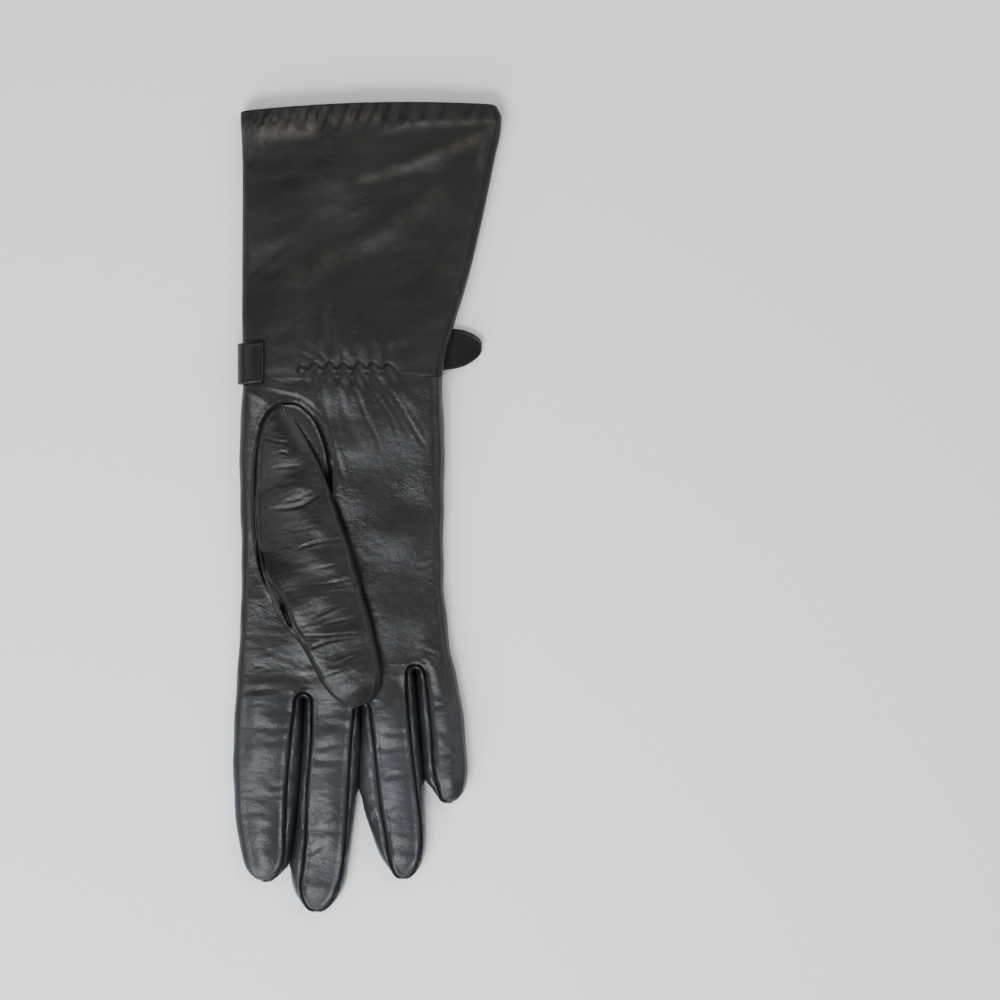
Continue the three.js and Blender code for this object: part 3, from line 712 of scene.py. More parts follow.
handCreases = makeCreases(
    handFolds["grooves"]
    + handFolds["ridges"]
    + randomCreases(21, 70, (-50, 38), (-146, -62), (4, 11), 4, 0.15, 0.6)
    + randomCreases(22, 30, (-12, 29), (-60, 20), (4, 12), 12, 0.08, 0.7)
    + randomCreases(23, 16, (-50, -30), (-70, -36), (4, 10), 8, 0.16, 0.8)
)


def handRelief(x, y):
    slotAway = slotDistance(x, y)
    holeAway = lineDistance(x, y, holeLoop)
    strength = rippleStrength(x, y)
    relief = handFolds["waves"] * handWaves(x, y)
    relief += handFolds["ripples"] * handRipples(x, y) * (0.6 + 0.4 * strength) * smoothstep(-y, 40, 80)
    fine = np.clip(0.5 + strength, 0, 2) * mix(0.3, 1, smoothstep(-y, 50, 90))
    relief += handFolds["fineRipples"] * fineRipples(x, y) * fine
    relief += handCreases(x, y)
    for bulgeX, bulgeY, wide, long, height in handFolds["bulges"]:
        relief += height * np.exp(-(((x - bulgeX) / wide) ** 2) - ((y - bulgeY) / long) ** 2)
    calm = smoothstep(np.minimum(slotAway, holeAway), 0, handFolds["calmWithin"])
    relief = relief * (0.45 + 0.55 * calm) * smoothstep(wristSeam - y, 0.4, 4.5)
    fromHole = np.where(insideHole(x, y), -holeAway, holeAway)
    return relief + seamDip(slotAway, "slot") + seamDip(fromHole, "thumbHole")


def handTop(x, y, across, fingerShare, fingerAcross, name, calm):
    _, high, crown = heights(y)
    palm = high + crown * (1 - across**2)
    rounded, fingerLow, height = fingerShape(y, name)
    # above the crotches the leather runs on smoothly from one finger's strip to the next
    inPalm = smoothstep(y, *gloveForm["toFingerCrown"])
    profile = mix(1 - np.abs(fingerAcross) ** 2.4, 0.5 + 0.5 * np.cos(math.pi * fingerAcross), inPalm)
    finger = fingerLow + height + gloveForm["fingerCrown"] * rounded * profile
    relief = handRelief(x, y) * calm + gathers(x, y)
    return mix(palm, finger, fingerShare) + relief * mix(0.25, 1, rounded) - tuck(y)


def handBottom(x, y, name):
    low, _, _ = heights(y)
    _, fingerLow, _ = fingerShape(y, name)
    away = slotDistance(x, y)
    waves = handFolds["underside"] * (1 + np.sin(0.9 * handWaves(x + 40, y - 30)))
    return low + fingerLow + 0.05 + waves * smoothstep(away, 0, 6) + 0.95 * hump(away, 0.85) + tuck(y)


def handRows():
    lastY = gloveForm["palmRowsTo"]
    ys = list(wristSeam - np.array([0, 0.12, 0.24, 0.34, 0.42, 0.46, 0.65, 0.95, 1.4]))
    ys += list(np.arange(wristSeam - 2.1, lastY, -gloveForm["spacing"])) + [lastY]
    for slot in slots.values():
        crotchY = slot["crotch"][1]
        ys = [y for y in ys if not (crotchY - slotArch - 0.3 < y < crotchY + 0.3) or y == lastY]
        ys += [y for y in archRows(crotchY, 8) if y > lastY + 0.1]
    return np.array(sorted(set(np.round(ys, 3)), reverse=True))


def fingerRows(name):
    tip, close, lastY = fingerTips[name], fingerEnd["closeRows"], gloveForm["palmRowsTo"]
    rows = []
    if name in ("middle", "ring"):  # their slot starts at the lowest shared row
        rows = [y for y in archRows(slots["middle_ring"]["crotch"][1], 8) if y < lastY - 0.1]
    start = rows[-1] if rows else lastY
    count = max(int((start - (tip + close)) / gloveForm["spacing"]), 4)
    rows += list(np.linspace(start, tip + close, count + 1)[1:])
    rows += list(tip + close * (1 - np.sin(quarter(13)))[1:])
    return np.array(rows)


def outerEdges(y):
    palm = handOutline(y)
    index = fingers["index"](y)
    little = fingers["little"](y)
    toFinger = 1 - smoothstep(y, *gloveForm["toFinger"])
    left = mix(palm["left"], index["left"], toFinger) + tuck(y)
    right = mix(palm["right"], little["right"], toFinger) - tuck(y)
    toFold = 1 - smoothstep(y, *gloveForm["toFingerFold"])
    low, high, _ = heights(y)
    fold = (high - low) / 2
    leftFold = mix(fold, index["seamLeft"] - index["left"], toFold)
    rightFold = mix(fold, little["right"] - little["seamRight"], toFold)
    return left, right, leftFold, rightFold


def stripSides(name, y):
    left, right, leftFold, rightFold = outerEdges(y)
    order = fingerOrder.index(name)
    slotList = list(slots.values())
    start = left + leftFold if order == 0 else slotSides(slotList[order - 1], y)[1]
    end = right - rightFold if order == 3 else slotSides(slotList[order], y)[0]
    return start, end


tipCap = {  # how far the end of a finger bulges out, in its middle and at its seams
    "reach": 0.9,
    "seam": 0.5,
    "turns": np.radians([30, 60, 90]),
}
stripColumns = {"index": 25, "middle": 22, "ring": 21, "little": 15}
sideSeam = {"angle": 62, "depth": 0.45, "width": 9}  # its groove, in degrees round the fold


def handStrip(sheet, name, shared):
    ys = np.concatenate([shared, fingerRows(name)])
    y = ys[:, None] * np.ones(stripColumns[name])
    start, end = stripSides(name, ys)
    u = np.linspace(0, 1, stripColumns[name])[None, :]
    x = mix(start[:, None], end[:, None], u)
    left, right, leftFold, rightFold = outerEdges(ys)
    flatLeft = (left + leftFold)[:, None]
    flatRight = (right - rightFold)[:, None]
    across = np.clip(2 * (x - flatLeft) / (flatRight - flatLeft) - 1, -1, 1)
    fingerShare = (1 - smoothstep(ys, *gloveForm["toFingerRound"]))[:, None]
    fingerAcross = 2 * u - 1
    calm = mix(0.5, 1, smoothstep(x - flatLeft, 0, 5) * smoothstep(flatRight - x, 0, 5))
    top = handTop(x, y, across, fingerShare, fingerAcross, name, calm)
    bottom = np.maximum(handBottom(x, y, name), 0.05)
    # round the very tip, from the top over to the underside
    angles = turn(0, 180, 13)[1:-1, None]
    swell = (tipCap["reach"] - tipCap["seam"]) * np.sqrt(np.clip(1 - fingerAcross**2, 0, 1))
    capX = np.repeat(x[-1:], len(angles), axis=0)
    capY = fingerTips[name] - np.sin(angles) * (tipCap["seam"] + swell)
    capZ = (top[-1] + bottom[-1]) / 2 + (top[-1] - bottom[-1]) / 2 * np.cos(angles)
    over = np.stack([x, y, top], -1)
    under = np.stack([x, y, bottom], -1)
    sheet.add(np.concatenate([over, np.stack([capX, capY, capZ], -1), under[::-1]]))
    return ys, top, bottom


# The fold at an outer side, from the palm round to the back
def handFold(sheet, name, side, ys, top, bottom):
    left, right, _, _ = outerEdges(ys)
    start, end = stripSides(name, ys)
    edge, inner = (left, start) if side < 0 else (right, end)
    degrees = np.linspace(0, 180, 13)[None, :]
    a = np.radians(degrees)
    middle = ((top + bottom) / 2)[:, None]
    half = ((top - bottom) / 2)[:, None]
    reach = np.abs(edge - inner)[:, None]
    wobble = 0.12 * np.sin(ys[:, None] * 0.31 + degrees * 0.03) * np.sin(a)
    x = inner[:, None] + side * (reach * np.sin(a) ** 0.9 + wobble)
    z = middle + half * np.cos(a)
    if side > 0:  # the hand's seam is at the little finger's side
        groove = sideSeam["depth"] * hump(degrees - sideSeam["angle"], sideSeam["width"])
        x = x - side * groove * np.sin(a) * 0.6
        z = z - groove * np.cos(a)
    y = ys[:, None] * np.ones_like(x)
    # the fold closes round the end of the finger
    turns = tipCap["turns"][:, None]
    capX = inner[-1] + (x[-1:] - inner[-1]) * np.cos(turns)
    capY = ys[-1] - tipCap["seam"] * np.sin(a) * np.sin(turns)
    capZ = np.repeat(z[-1:], len(turns), axis=0)
    sheet.add(np.concatenate([np.stack([x, y, z], -1), np.stack([capX, capY, capZ], -1)]))


# Cuts the thumb hole out of the palm, along a clean edge
def cutHole(sheet):
    points = np.concatenate(sheet.points)
    x, y, z = points.T
    away = lineDistance(x, y, holeLoop)
    signed = np.where(z > 5, np.where(insideHole(x, y), -away, away), farAway)
    added = []
    cuts = {}

    def cutBetween(a, b):
        key = (min(a, b), max(a, b))
        if key not in cuts:
            t = signed[a] / (signed[a] - signed[b])
            place = mix(points[a], points[b], t)
            dipA, dipB, dip = (seamDip(at, "thumbHole") for at in (signed[a], signed[b], 0))
            place[2] = mix(points[a, 2] - dipA, points[b, 2] - dipB, t) + dip
            cuts[key] = len(points) + len(added)
            added.append(place)
        return cuts[key]

    kept = []
    for face in sheet.faces:
        values = signed[face]
        if values.min() >= 0:
            kept.append(face)
        elif values.max() > 0:
            trimmed = []
            for a, b in zip(face, face[1:] + face[:1]):
                if signed[a] >= 0:
                    trimmed.append(a)
                if (signed[a] > 0) != (signed[b] > 0) and signed[a] != 0 and signed[b] != 0:
                    trimmed.append(cutBetween(a, b))
            if len(trimmed) > 2:
                kept.append(trimmed)
    sheet.points = [np.concatenate([points, np.array(added)])]
    sheet.faces = kept


def makeHand():
    sheet = Sheet()
    shared = handRows()
    strips = {name: handStrip(sheet, name, shared) for name in fingerOrder}
    for name, column, side in (("index", 0, -1), ("little", -1, 1)):
        ys, top, bottom = strips[name]
        handFold(sheet, name, side, ys, top[:, column], bottom[:, column])
    cutHole(sheet)
    return makeMesh("hand_leather", sheet, handLeather, gloveForm["leather"])


hand = settle(makeHand(), "hand_leather", "hand", *(name + "_finger" for name in fingerOrder))
print("hand made", len(hand.data.polygons))

# Strips between the fingers
sideStripForm = {
    "wall": 0.7,
    "crotchDepth": 2.6,  # how far below the crotch the two sides of a strip meet
    # two neighbouring fingers touch from the crotch down to this place
    "touch": {"index_middle": -143.4, "middle_ring": -113.4, "ring_little": -110},
    # once over a strip: share of the way out from its seam, and how far down its side, from 0 to 2
    "profile": [
        (0, 0.26), (0.04, 0.16), (0.1, 0.08), (0.2, 0.03), (0.34, 0.05), (0.47, 0.13), (0.6, 0.24),
        (0.73, 0.4), (0.85, 0.6), (0.94, 0.8), (1, 1), (0.98, 1.2), (0.88, 1.45), (0.7, 1.68),
        (0.46, 1.84), (0.2, 1.86), (0, 1.7),
    ],
}
stripWaves = makeWaves(17, 10, 5, 17)


def makeSideStrip(name, slot):
    s = sideStripForm
    crotchX, crotchY = slot["crotch"]
    leftFinger, rightFinger = slot["fingers"]
    path = slotPaths[name]
    x, y = path[:, 0], path[:, 1]
    isLeft = np.arange(len(path)) < int(np.argmax(y))
    leftEdge, rightEdge = fingerEdge(leftFinger, y, "right"), fingerEdge(rightFinger, y, "left")
    between = (leftEdge + rightEdge) / 2
    touch = smoothstep(y, s["touch"][name] - 3, s["touch"][name] + 0.6)
    outer = mix(np.where(isLeft, leftEdge, rightEdge), between + np.where(isLeft, -0.01, 0.01), touch)
    # at the crotch the strip turns from one finger to the other
    turnY = crotchY - s["crotchDepth"]
    middle = (fingerEdge(leftFinger, turnY, "right") + fingerEdge(rightFinger, turnY, "left")) / 2
    turned = smoothstep(y, turnY - 5, turnY)
    targetX = mix(outer, mix(crotchX, middle, 0.8), turned)
    targetY = np.minimum(y, turnY)
    shapes = zip(fingerShape(y, leftFinger), fingerShape(y, rightFinger))
    rounded, low, height = (np.where(isLeft, *pair) for pair in shapes)
    low = low + 0.05
    top = low + height + 0.2 * rounded
    half = (top - low) / 2
    rows = []
    for out, down in s["profile"]:
        start = 0.12 / np.maximum(np.hypot(targetX - x, targetY - y), 0.5)
        share = start + out * (1 - start)
        px = mix(x, targetX, share)
        py = mix(y, targetY, share)
        valley = mix(1, 1.12, turned)
        pz = top - down * half * (valley if down <= 1 else 1)
        pz = pz + 0.22 * stripWaves(px * 1.4 + 31, py) * math.sin(math.pi * min(out, 1)) * rounded
        rows.append(np.stack([px, py, np.maximum(pz, 0.06)], -1))
    rows = np.array(rows)
    # both ends close round the fingertips
    downs = np.array([down for _, down in s["profile"]])
    reach = tipCap["seam"] * np.sin(math.pi / 2 * np.clip(downs, 0, 2))

    def closing(station, seamX):
        caps = []
        for angle in tipCap["turns"]:
            cap = station.copy()
            cap[:, 0] = seamX + (station[:, 0] - seamX) * math.cos(angle)
            cap[:, 1] = station[:, 1] - reach * math.sin(angle)
            caps.append(cap)
        return np.stack(caps, axis=1)

    start = closing(rows[:, 0], x[0])[:, ::-1]
    rows = np.concatenate([start, rows, closing(rows[:, -1], x[-1])], axis=1)
    return makeMesh("side_strip_" + name, Sheet(rows), sideLeather, s["wall"], turned=True)


sideStrips = {}
for slotName, slotData in slots.items():
    strip = makeSideStrip(slotName, slotData)
    sideStrips[slotName] = settle(strip, "fourchette_leather", "fourchette_" + slotName)
print("side strips made")

thumbForm = {
    "wall": 0.8,
    "spacing": 0.5,
    "tip": -79.9,
    "tipLength": 9,
    "apex": 40.6,
    "apexLength": 5,
    "base": 10,  # underside, just clear of the palm
    "crown": 1,
    "seatedFrom": -42,  # from here to the next place the left edge comes down into its seam
    "seatedTo": -14,
    "openFrom": 7,  # above this the right fold leaves the hole open beside it
    "sewnRise": 0.8,  # share of the width over which the sewn side rises
    "topColumns": 60,
    "foldColumns": 12,
    "underColumns": 20,
    "capRows": 6,
    "capReach": 0.7,
    "waves": 0.25,
    "ripples": 0.022,
    "seamFades": (-31, -20),  # its groove fades out here, towards the hole
    "besideDepth": 0.4,  # the strip of leather beside the seam lies this much lower
    "besideAlong": (-52, -46, -26, -21),
}
thumbOutline = smoothTable(["left", "right", "high"], [
    [-79.9, -6.4, -4.4, 14.2], [-79.2, -9, -1.4, 15], [-77.6, -11.6, 1.8, 15.9], [-74.4, -15, 4.4, 16.8],
    [-71, -17.6, 5.7, 17.1], [-66, -20.4, 5.9, 17.3], [-60, -23.6, 5, 17.4], [-53.6, -27.6, 3.5, 17.5],
    [-47, -33.4, 2, 17.5], [-41.8, -36.6, 0.6, 17.6], [-36, -38.8, -1.2, 17.6], [-30, -41, -2.6, 17.5],
    [-22.6, -43, -4.6, 17.3], [-13.4, -44.2, -7.4, 17], [-5.8, -44.6, -10.2, 16.7],
    [7.4, -44.6, -14.8, 15.9], [17.8, -44.2, -19.2, 14.8], [28.6, -42.6, -24.8, 13.4],
    [36, -38.8, -29.2, 12.1], [40.6, -33.6, -31.4, 11],
], thumbForm["tip"])
thumbSeam = [
    (-43.8, -20), (-42, -25), (-39.8, -28.6), (-37, -32.6), (-34.2, -37.4), (-31.8, -43), (-29.6, -48.6),
    (-27.2, -53),
]
thumbGap = {"line": [(-33.4, -39.6), (-32.2, -43.6), (-30.8, -47)], "depth": 1.3, "width": 0.7}
thumbFolds = [
    ([(-42.6, 27.8), (-37, 26.2), (-30.6, 25.2)], 0.22, 0.49),
    ([(-41.4, 0.2), (-36.2, -1), (-27, 0.2), (-21, 3.4), (-16.2, 7.4)], 0.37, 0.73),
    ([(-29.8, -17.4), (-20.6, -14.6), (-9.4, -12.6)], 0.31, 0.53),
    ([(-22.2, -25), (-15, -23.8), (-6.2, -21.8)], 0.26, 0.53),
    ([(-26.2, -31.8), (-13, -30.2), (-3.8, -27.8)], 0.22, 0.53),
    ([(-21.4, -44.2), (-12.2, -39.8), (-3, -36.6)], 0.43, 0.59),
    ([(-28.2, -51.4), (-18.6, -51.4), (-6.2, -50.6), (0.2, -50.2)], 0.22, 0.53),
    ([(-23.4, -57), (-16.2, -53.8), (-4.2, -51.8)], 0.37, 0.59), ([(-11, -62.2), (-3, -59)], 0.19, 0.53),
    ([(-35, -16.6), (-28.6, -15.4)], 0.19, 0.46), ([(-38.2, 15.4), (-27, 16.2)], 0.19, 0.59),
    ([(-18.2, -67.8), (-9, -64.6)], 0.19, 0.53),
    ([(-33.8, -45.2), (-32.8, -47), (-31.2, -48.2), (-29.4, -48)], -0.9, 0.5),
    ([(-35, 22), (-31, 21)], 0.2, 0.5), ([(-24, 2), (-15, 6.4)], 0.22, 0.5),
    ([(-30, -10), (-20, -8)], 0.15, 0.5), ([(-20, -35), (-6, -33)], 0.18, 0.5),
    ([(-18, -47), (-4, -44)], 0.18, 0.5),
]
thumbWaves = makeWaves(31, 14, 10, 26, direction=100, spread=50)
thumbRipples = makeWaves(32, 20, 2.2, 5.5, direction=104, spread=22)
thumbCreases = makeCreases(
    thumbFolds + randomCreases(33, 44, (-42, 4), (-74, 30), (3, 9), 14, 0.14, 0.5)
)


def palmAt(x, y):
    left, right, leftFold, rightFold = outerEdges(y)
    across = np.clip(2 * (x - left - leftFold) / (right - rightFold - left - leftFold) - 1, -1, 1)
    _, high, crown = heights(y)
    return high + crown * (1 - across**2)


# The folds and creases of the thumb's top, its seam on the left side and the gap beside it
def thumbRelief(x, y):
    t = thumbForm
    seamAway = lineDistance(x, y, smoothLine(thumbSeam))
    gapAway = lineDistance(x, y, smoothLine(thumbGap["line"]))
    relief = t["waves"] * thumbWaves(x, y) + t["ripples"] * thumbRipples(x, y) + thumbCreases(x, y)
    relief = relief * (0.3 + 0.7 * smoothstep(seamAway, 0, 3)) * smoothstep(y, t["tip"], t["tip"] + 5)
    sunk = 1 - smoothstep(y, *t["seamFades"])
    relief += sunk * seamDip(seamAway, "thumbSide")
    relief -= thumbGap["depth"] * hump(gapAway, thumbGap["width"])
    relief += 0.55 * hump(gapAway - 1.5, 0.6) * smoothstep(seamAway, 0, 1.2)
    (startX, startY), (endX, endY) = thumbSeam[0], thumbSeam[-1]
    beside = x < np.interp(y, [endY, startY], [endX, startX])
    lowered = smoothstep(seamAway, 0, 4) * beside * t["besideDepth"]
    return relief - lowered * stretch(y, *t["besideAlong"])


def makeThumb():
    t = thumbForm
    ys = np.concatenate([
        t["tip"] + t["tipLength"] * (1 - np.sin(quarter(16)))[::-1][:-1],
        np.arange(t["tip"] + t["tipLength"], t["apex"] - t["apexLength"], t["spacing"]),
        t["apex"] - t["apexLength"] * (1 - np.sin(quarter(12))),
    ])
    edge = thumbOutline(ys)
    left, right, high = edge["left"], edge["right"], edge["high"]
    holeDown, holeUp = holeSides()
    holeLeft = np.interp(ys, holeDown[::-1, 1], holeDown[::-1, 0])
    holeRight = np.interp(ys, holeUp[:, 1], holeUp[:, 0])
    seated = smoothstep(ys, t["seatedFrom"], t["seatedTo"])
    left = mix(left, holeLeft + 0.18, seated)
    opened = smoothstep(ys, t["openFrom"] - 3, t["openFrom"] + 1)
    toApex = smoothstep(ys, 30, t["apex"])
    toTip = np.clip((ys - t["tip"]) / t["tipLength"], 0, 1)
    tipRound = np.sqrt(np.clip(1 - (1 - toTip) ** 2, 0, 1))
    base = t["base"] + mix(1.4, 0, tipRound)
    high = mix(base + 1.6, high, tipRound)
    half = (high - base) / 2
    width = right - left
    foldLeft = np.minimum(half * 0.9, width * 0.3)
    # the fold on the right narrows to a crease towards the apex
    foldHalf = mix(half, np.minimum(half, 1.5), opened)
    foldRight = np.minimum(foldHalf * 0.85, width * 0.3)

    # the top, from the left edge to the fold: where it is sewn in it rises gently from the palm
    columns = []
    low = mix((high + base) / 2, palmAt(left, ys) - 0.45, seated)
    for v in np.linspace(0, 1, t["topColumns"])[:-1]:
        v = mix(v**2, v, 0.35)
        x = mix(left, right - foldRight, v)
        free = np.sqrt(np.clip(1 - (1 - np.clip((x - left) / foldLeft, 0, 1)) ** 2, 0, 1))
        sewn = 1 - (1 - np.clip((x - left) / (t["sewnRise"] * width), 0, 1)) ** 1.6
        z = low + (high - low) * mix(free, sewn, seated)
        z = z + t["crown"] * 4 * v * (1 - v) * tipRound * (1 - 0.5 * toApex)
        columns.append((x, z))
    for a in turn(0, 180, t["foldColumns"] * 2):
        columns.append((right - foldRight * (1 - math.sin(a)), high - foldHalf * (1 - math.cos(a))))
    topCount = len(columns)
    foldLow = high - 2 * foldHalf
    seamZ = palmAt(holeRight, ys) - 0.9
    lowLayer = palmAt(holeRight, ys) - 0.5
    for v in np.linspace(0, 1, t["underColumns"])[1:]:
        # closed: back along the underside to the left side
        closedX = mix(right - foldRight, left + foldLeft * mix(1, 0, seated), v)
        closedZ = mix(foldLow, mix(base, palmAt(left, ys) - 0.9, seated), smoothstep(v, 0.6, 1))
        # open: a short way back under the fold, then out again to the seam on the right
        back = smoothstep(v, 0, 0.35)
        out = smoothstep(v, 0.3, 1)
        turnX = right - foldRight - 2.4
        openX = mix(mix(right - foldRight, turnX, back), holeRight - 0.2, out)
        openZ = mix(mix(foldLow, lowLayer, back), seamZ, smoothstep(v, 0.8, 1))
        openZ = openZ + 0.35 * np.sin(math.pi * out) * (1 - toApex)
        columns.append((mix(closedX, openX, opened), mix(closedZ, openZ, opened)))
    # up round the left edge again, but not where it is sewn in or lies open
    flat = np.maximum(seated, opened)
    for a in turn(180, 90, t["foldColumns"])[1:]:
        x = left + foldLeft * (1 - math.sin(a))
        z = (high + base) / 2 + half * math.cos(a)
        lastX, lastZ = columns[-1]
        columns.append((mix(x, lastX, flat), mix(z, lastZ, flat)))
    x, z = (np.stack(column, -1) for column in zip(*columns))
    y = ys[:, None] * np.ones_like(x)
    fromLeft = x - left[:, None]
    onTop = np.zeros_like(x)
    onTop[:, : topCount - t["foldColumns"]] = 1
    fadeFold = 0.1 + 0.9 * smoothstep(np.minimum(fromLeft, 8), 0, 3)
    start = topCount - 2 * t["foldColumns"]
    fadeFold[:, start : start + t["foldColumns"]] *= np.linspace(1, 0.3, t["foldColumns"])
    z = z + thumbRelief(x, y) * onTop * fadeFold
    # a rolled rim just inside the seam
    rim = seamDip(lineDistance(x, y, holeLoop) - 1.7, "thumbRim")
    onUnder = np.zeros_like(x)
    onUnder[:, -t["underColumns"] :] = opened[:, None]
    besides = smoothstep(fromLeft, 3, 5) * (1 - smoothstep(y, 29, 34))
    z = z + rim * np.clip(onTop * seated[:, None] * (1 - besides) + onUnder, 0, 1)
    sheet = Sheet(np.stack([x, y, z], -1))
    # round the very tip
    centreX = (x[0].max() + x[0].min()) / 2
    middle = (z[0].max() + z[0].min()) / 2
    cap = []
    for angle in quarter(t["capRows"])[::-1]:
        shrink = math.cos(angle)
        capX = centreX + (x[0] - centreX) * (0.25 + 0.75 * shrink)
        capY = np.full_like(x[0], t["tip"] - t["capReach"] * math.sin(angle))
        cap.append(np.stack([capX, capY, middle + (z[0] - middle) * shrink], -1))
    sheet.add(cap)
    return makeMesh("thumb_leather", sheet, thumbLeather, t["wall"])


thumb = settle(makeThumb(), "hand_leather", "thumb")
print("thumb made", len(thumb.data.polygons))

cuffForm = {
    "spacing": 1.05,
    "hemDepth": 7,
    "hemLine": 5.6,  # how far below the mouth the hem is sewn
    "lip": 0.75,  # roundness of the turned edge
    "wall": 1.1,
    "hemWall": 2.1,
    "topColumns": 180,
    "foldColumns": 15,
    "bottomColumns": 96,
    "sideSeam": 2,  # how far it lies inside the right edge
    "waves": 0.32,
    "ripples": 0.07,
    "pucker": 0.55,
    "underside": 0.3,
    "undersideAcross": (-46, -40, 24, 30),  # where it is wavy
}
cuffOutline = smoothTable(["left", "right"], [
    [46, -49.8, 30], [52.5, -49.8, 30.2], [60, -49.8, 31.2], [72, -50.1, 34.6], [90, -50.3, 40],
    [114, -50.2, 45.8], [138, -50.2, 51], [150, -50.6, 53.6], [155, -50.9, 53.6], [159.2, -51, 51.4],
])
cuffFolds = [  # the last six are long soft folds that run across the cuff
    ([(-27.4, 61.4), (-24.6, 60.2), (-22, 58.2)], 0.24, 0.8),
    ([(-20.2, 61.8), (-18.2, 60.2), (-16.2, 58)], 0.24, 0.8),
    ([(-15.4, 81.4), (-14.6, 70.6), (-12.6, 58.6)], 0.6, 1.5), ([(-10.8, 64.6), (-8.6, 58)], 0.22, 1),
    ([(-5.4, 70.6), (-4.6, 59.4)], 0.35, 1.4), ([(-27, 70.6), (-24.2, 61.8)], 0.3, 1.6),
    ([(12.6, 53.8), (18, 53.6), (24.6, 53)], -0.4, 0.5), ([(2.6, 68.6), (1.8, 59)], 0.3, 1.4),
    ([(9.4, 66.2), (7.4, 58.6)], 0.25, 1.3),
    ([(5.8, 149), (20, 152.2), (34.2, 154.2), (49.4, 154.4)], -0.8, 2.4),
    ([(9.4, 133.4), (28, 139.8), (45, 143.8)], -1, 3.6), ([(-3.8, 103.8), (12.6, 115), (28.2, 125)], -1, 5),
    ([(-27.4, 85.8), (-20.4, 95), (-15.4, 103.8)], -0.8, 4.5),
    ([(-43, 148), (-24, 149.4), (-6, 147.4)], -0.35, 3), ([(16, 78), (24, 88), (30, 99)], -0.35, 4.5),
]
cuffWaves = makeWaves(41, 14, 26, 64)
cuffRipples = makeWaves(42, 16, 7, 16, direction=95, spread=30)
cuffCreases = makeCreases(
    cuffFolds + randomCreases(43, 34, (-46, 44), (60, 146), (6, 18), 40, 0.12, 1.2)
)
hemPuckers = makeWaves(44, 6, 4.6, 9.5, direction=0, spread=12)
cuffWearAndSheen = [  # rubbed places and painted highlights along the hem and the cuff's ridges: a line, half its width, and how strong
    ([(-47, 146), (-38, 149.5), (-24, 152.5)], 5, 0.9), ([(-22, 153.5), (-10, 155), (2, 155.5)], 3.2, 0.5),
    ([(5, 148.8), (18, 151.8), (32, 153.3), (50, 153.6)], 1.4, 0.5),
    ([(-2, 130.4), (12, 134), (28, 140), (42, 146), (49, 150.5)], 2, 0.6),
    ([(47, 148), (45.6, 141), (45.1, 135.5)], 1.4, 0.4),
    ([(-31, 89), (-20, 96.3), (-1, 103.8), (17, 116.3), (28, 123.8)], 3.6, 0.2),
    ([(-15, 120), (-12, 123), (-9, 125)], 5, 0.16),
]


# The mouth's edge is a shallow bow
def mouthBow(x, y):
    return smoothstep(y, 110, mouth) * (2.8 - 7.8e-4 * (x - 17) ** 2)


# Columns once round: top from left to right, right fold, bottom, left fold
def cuffSection(y, inset):
    c = cuffForm
    edge = cuffOutline(y)
    low, high, crown = heights(y)
    left = edge["left"] + inset
    right = edge["right"] - inset
    high = high - inset
    low = low + inset
    half = (high - low) / 2
    fold = np.maximum(half, 0.4)
    middle = (high + low) / 2
    columns = []  # x, z, and how far it faces up

    def addFold(edgeX, side, angles):
        for a in angles[1:-1]:
            x = edgeX - side * fold * (1 - math.sin(a))
            columns.append((x, middle + half * math.cos(a), max(math.cos(a), 0)))

    for v in np.linspace(0, 1, c["topColumns"]):
        columns.append((mix(left + fold, right - fold, v), high + crown * 4 * v * (1 - v), 1))
    addFold(right, 1, turn(0, 180, c["foldColumns"] + 2))
    for v in np.linspace(1, 0, c["bottomColumns"]):
        columns.append((mix(left + fold, right - fold, v), low, 0))
    addFold(left, -1, turn(180, 0, c["foldColumns"] + 2))
    xs, zs, tops = zip(*columns)
    return np.stack(xs, -1), np.stack(zs, -1), np.array(tops) * np.ones((len(y), 1))


# The row of elastic above the wrist: small arches that draw the leather in, sharp at their feet
elastic = {
    "feet": [-27.6, -24.6, -17.8, -12.2, -6.2, -0.2, 5.8, 12.2],
    "low": 53.5,
    "high": [56.4, 57.6, 57.8, 57.4, 57.9, 57.5, 57],
    "depth": 0.6,
    "width": 0.34,
    "pucker": 1,
}


def elasticArches():
    feet = elastic["feet"]
    line = [(feet[0], elastic["low"] + 0.3)]
    for start, end, high in zip(feet[:-1], feet[1:], elastic["high"]):
        for t in np.linspace(0, 1, 9)[1:]:
            rise = math.sin(math.pi * t ** (1.25 if high > 57.5 else 0.85)) if t < 1 else 0
            line.append((mix(start, end, t), mix(elastic["low"], high, rise)))
    return line


elasticLine = elasticArches()


def elasticRow(x, y):
    e = elastic
    relief = -e["depth"] * hump(lineDistance(x, y, elasticLine), e["width"])
    for foot in e["feet"][1:-1]:
        across = (x - foot) / (0.5 + 0.45 * np.clip(y - e["low"], 0, 4))
        relief += e["pucker"] * np.exp(-(across**2) - ((y - e["low"] - 1) / 0.75) ** 2)
    return relief


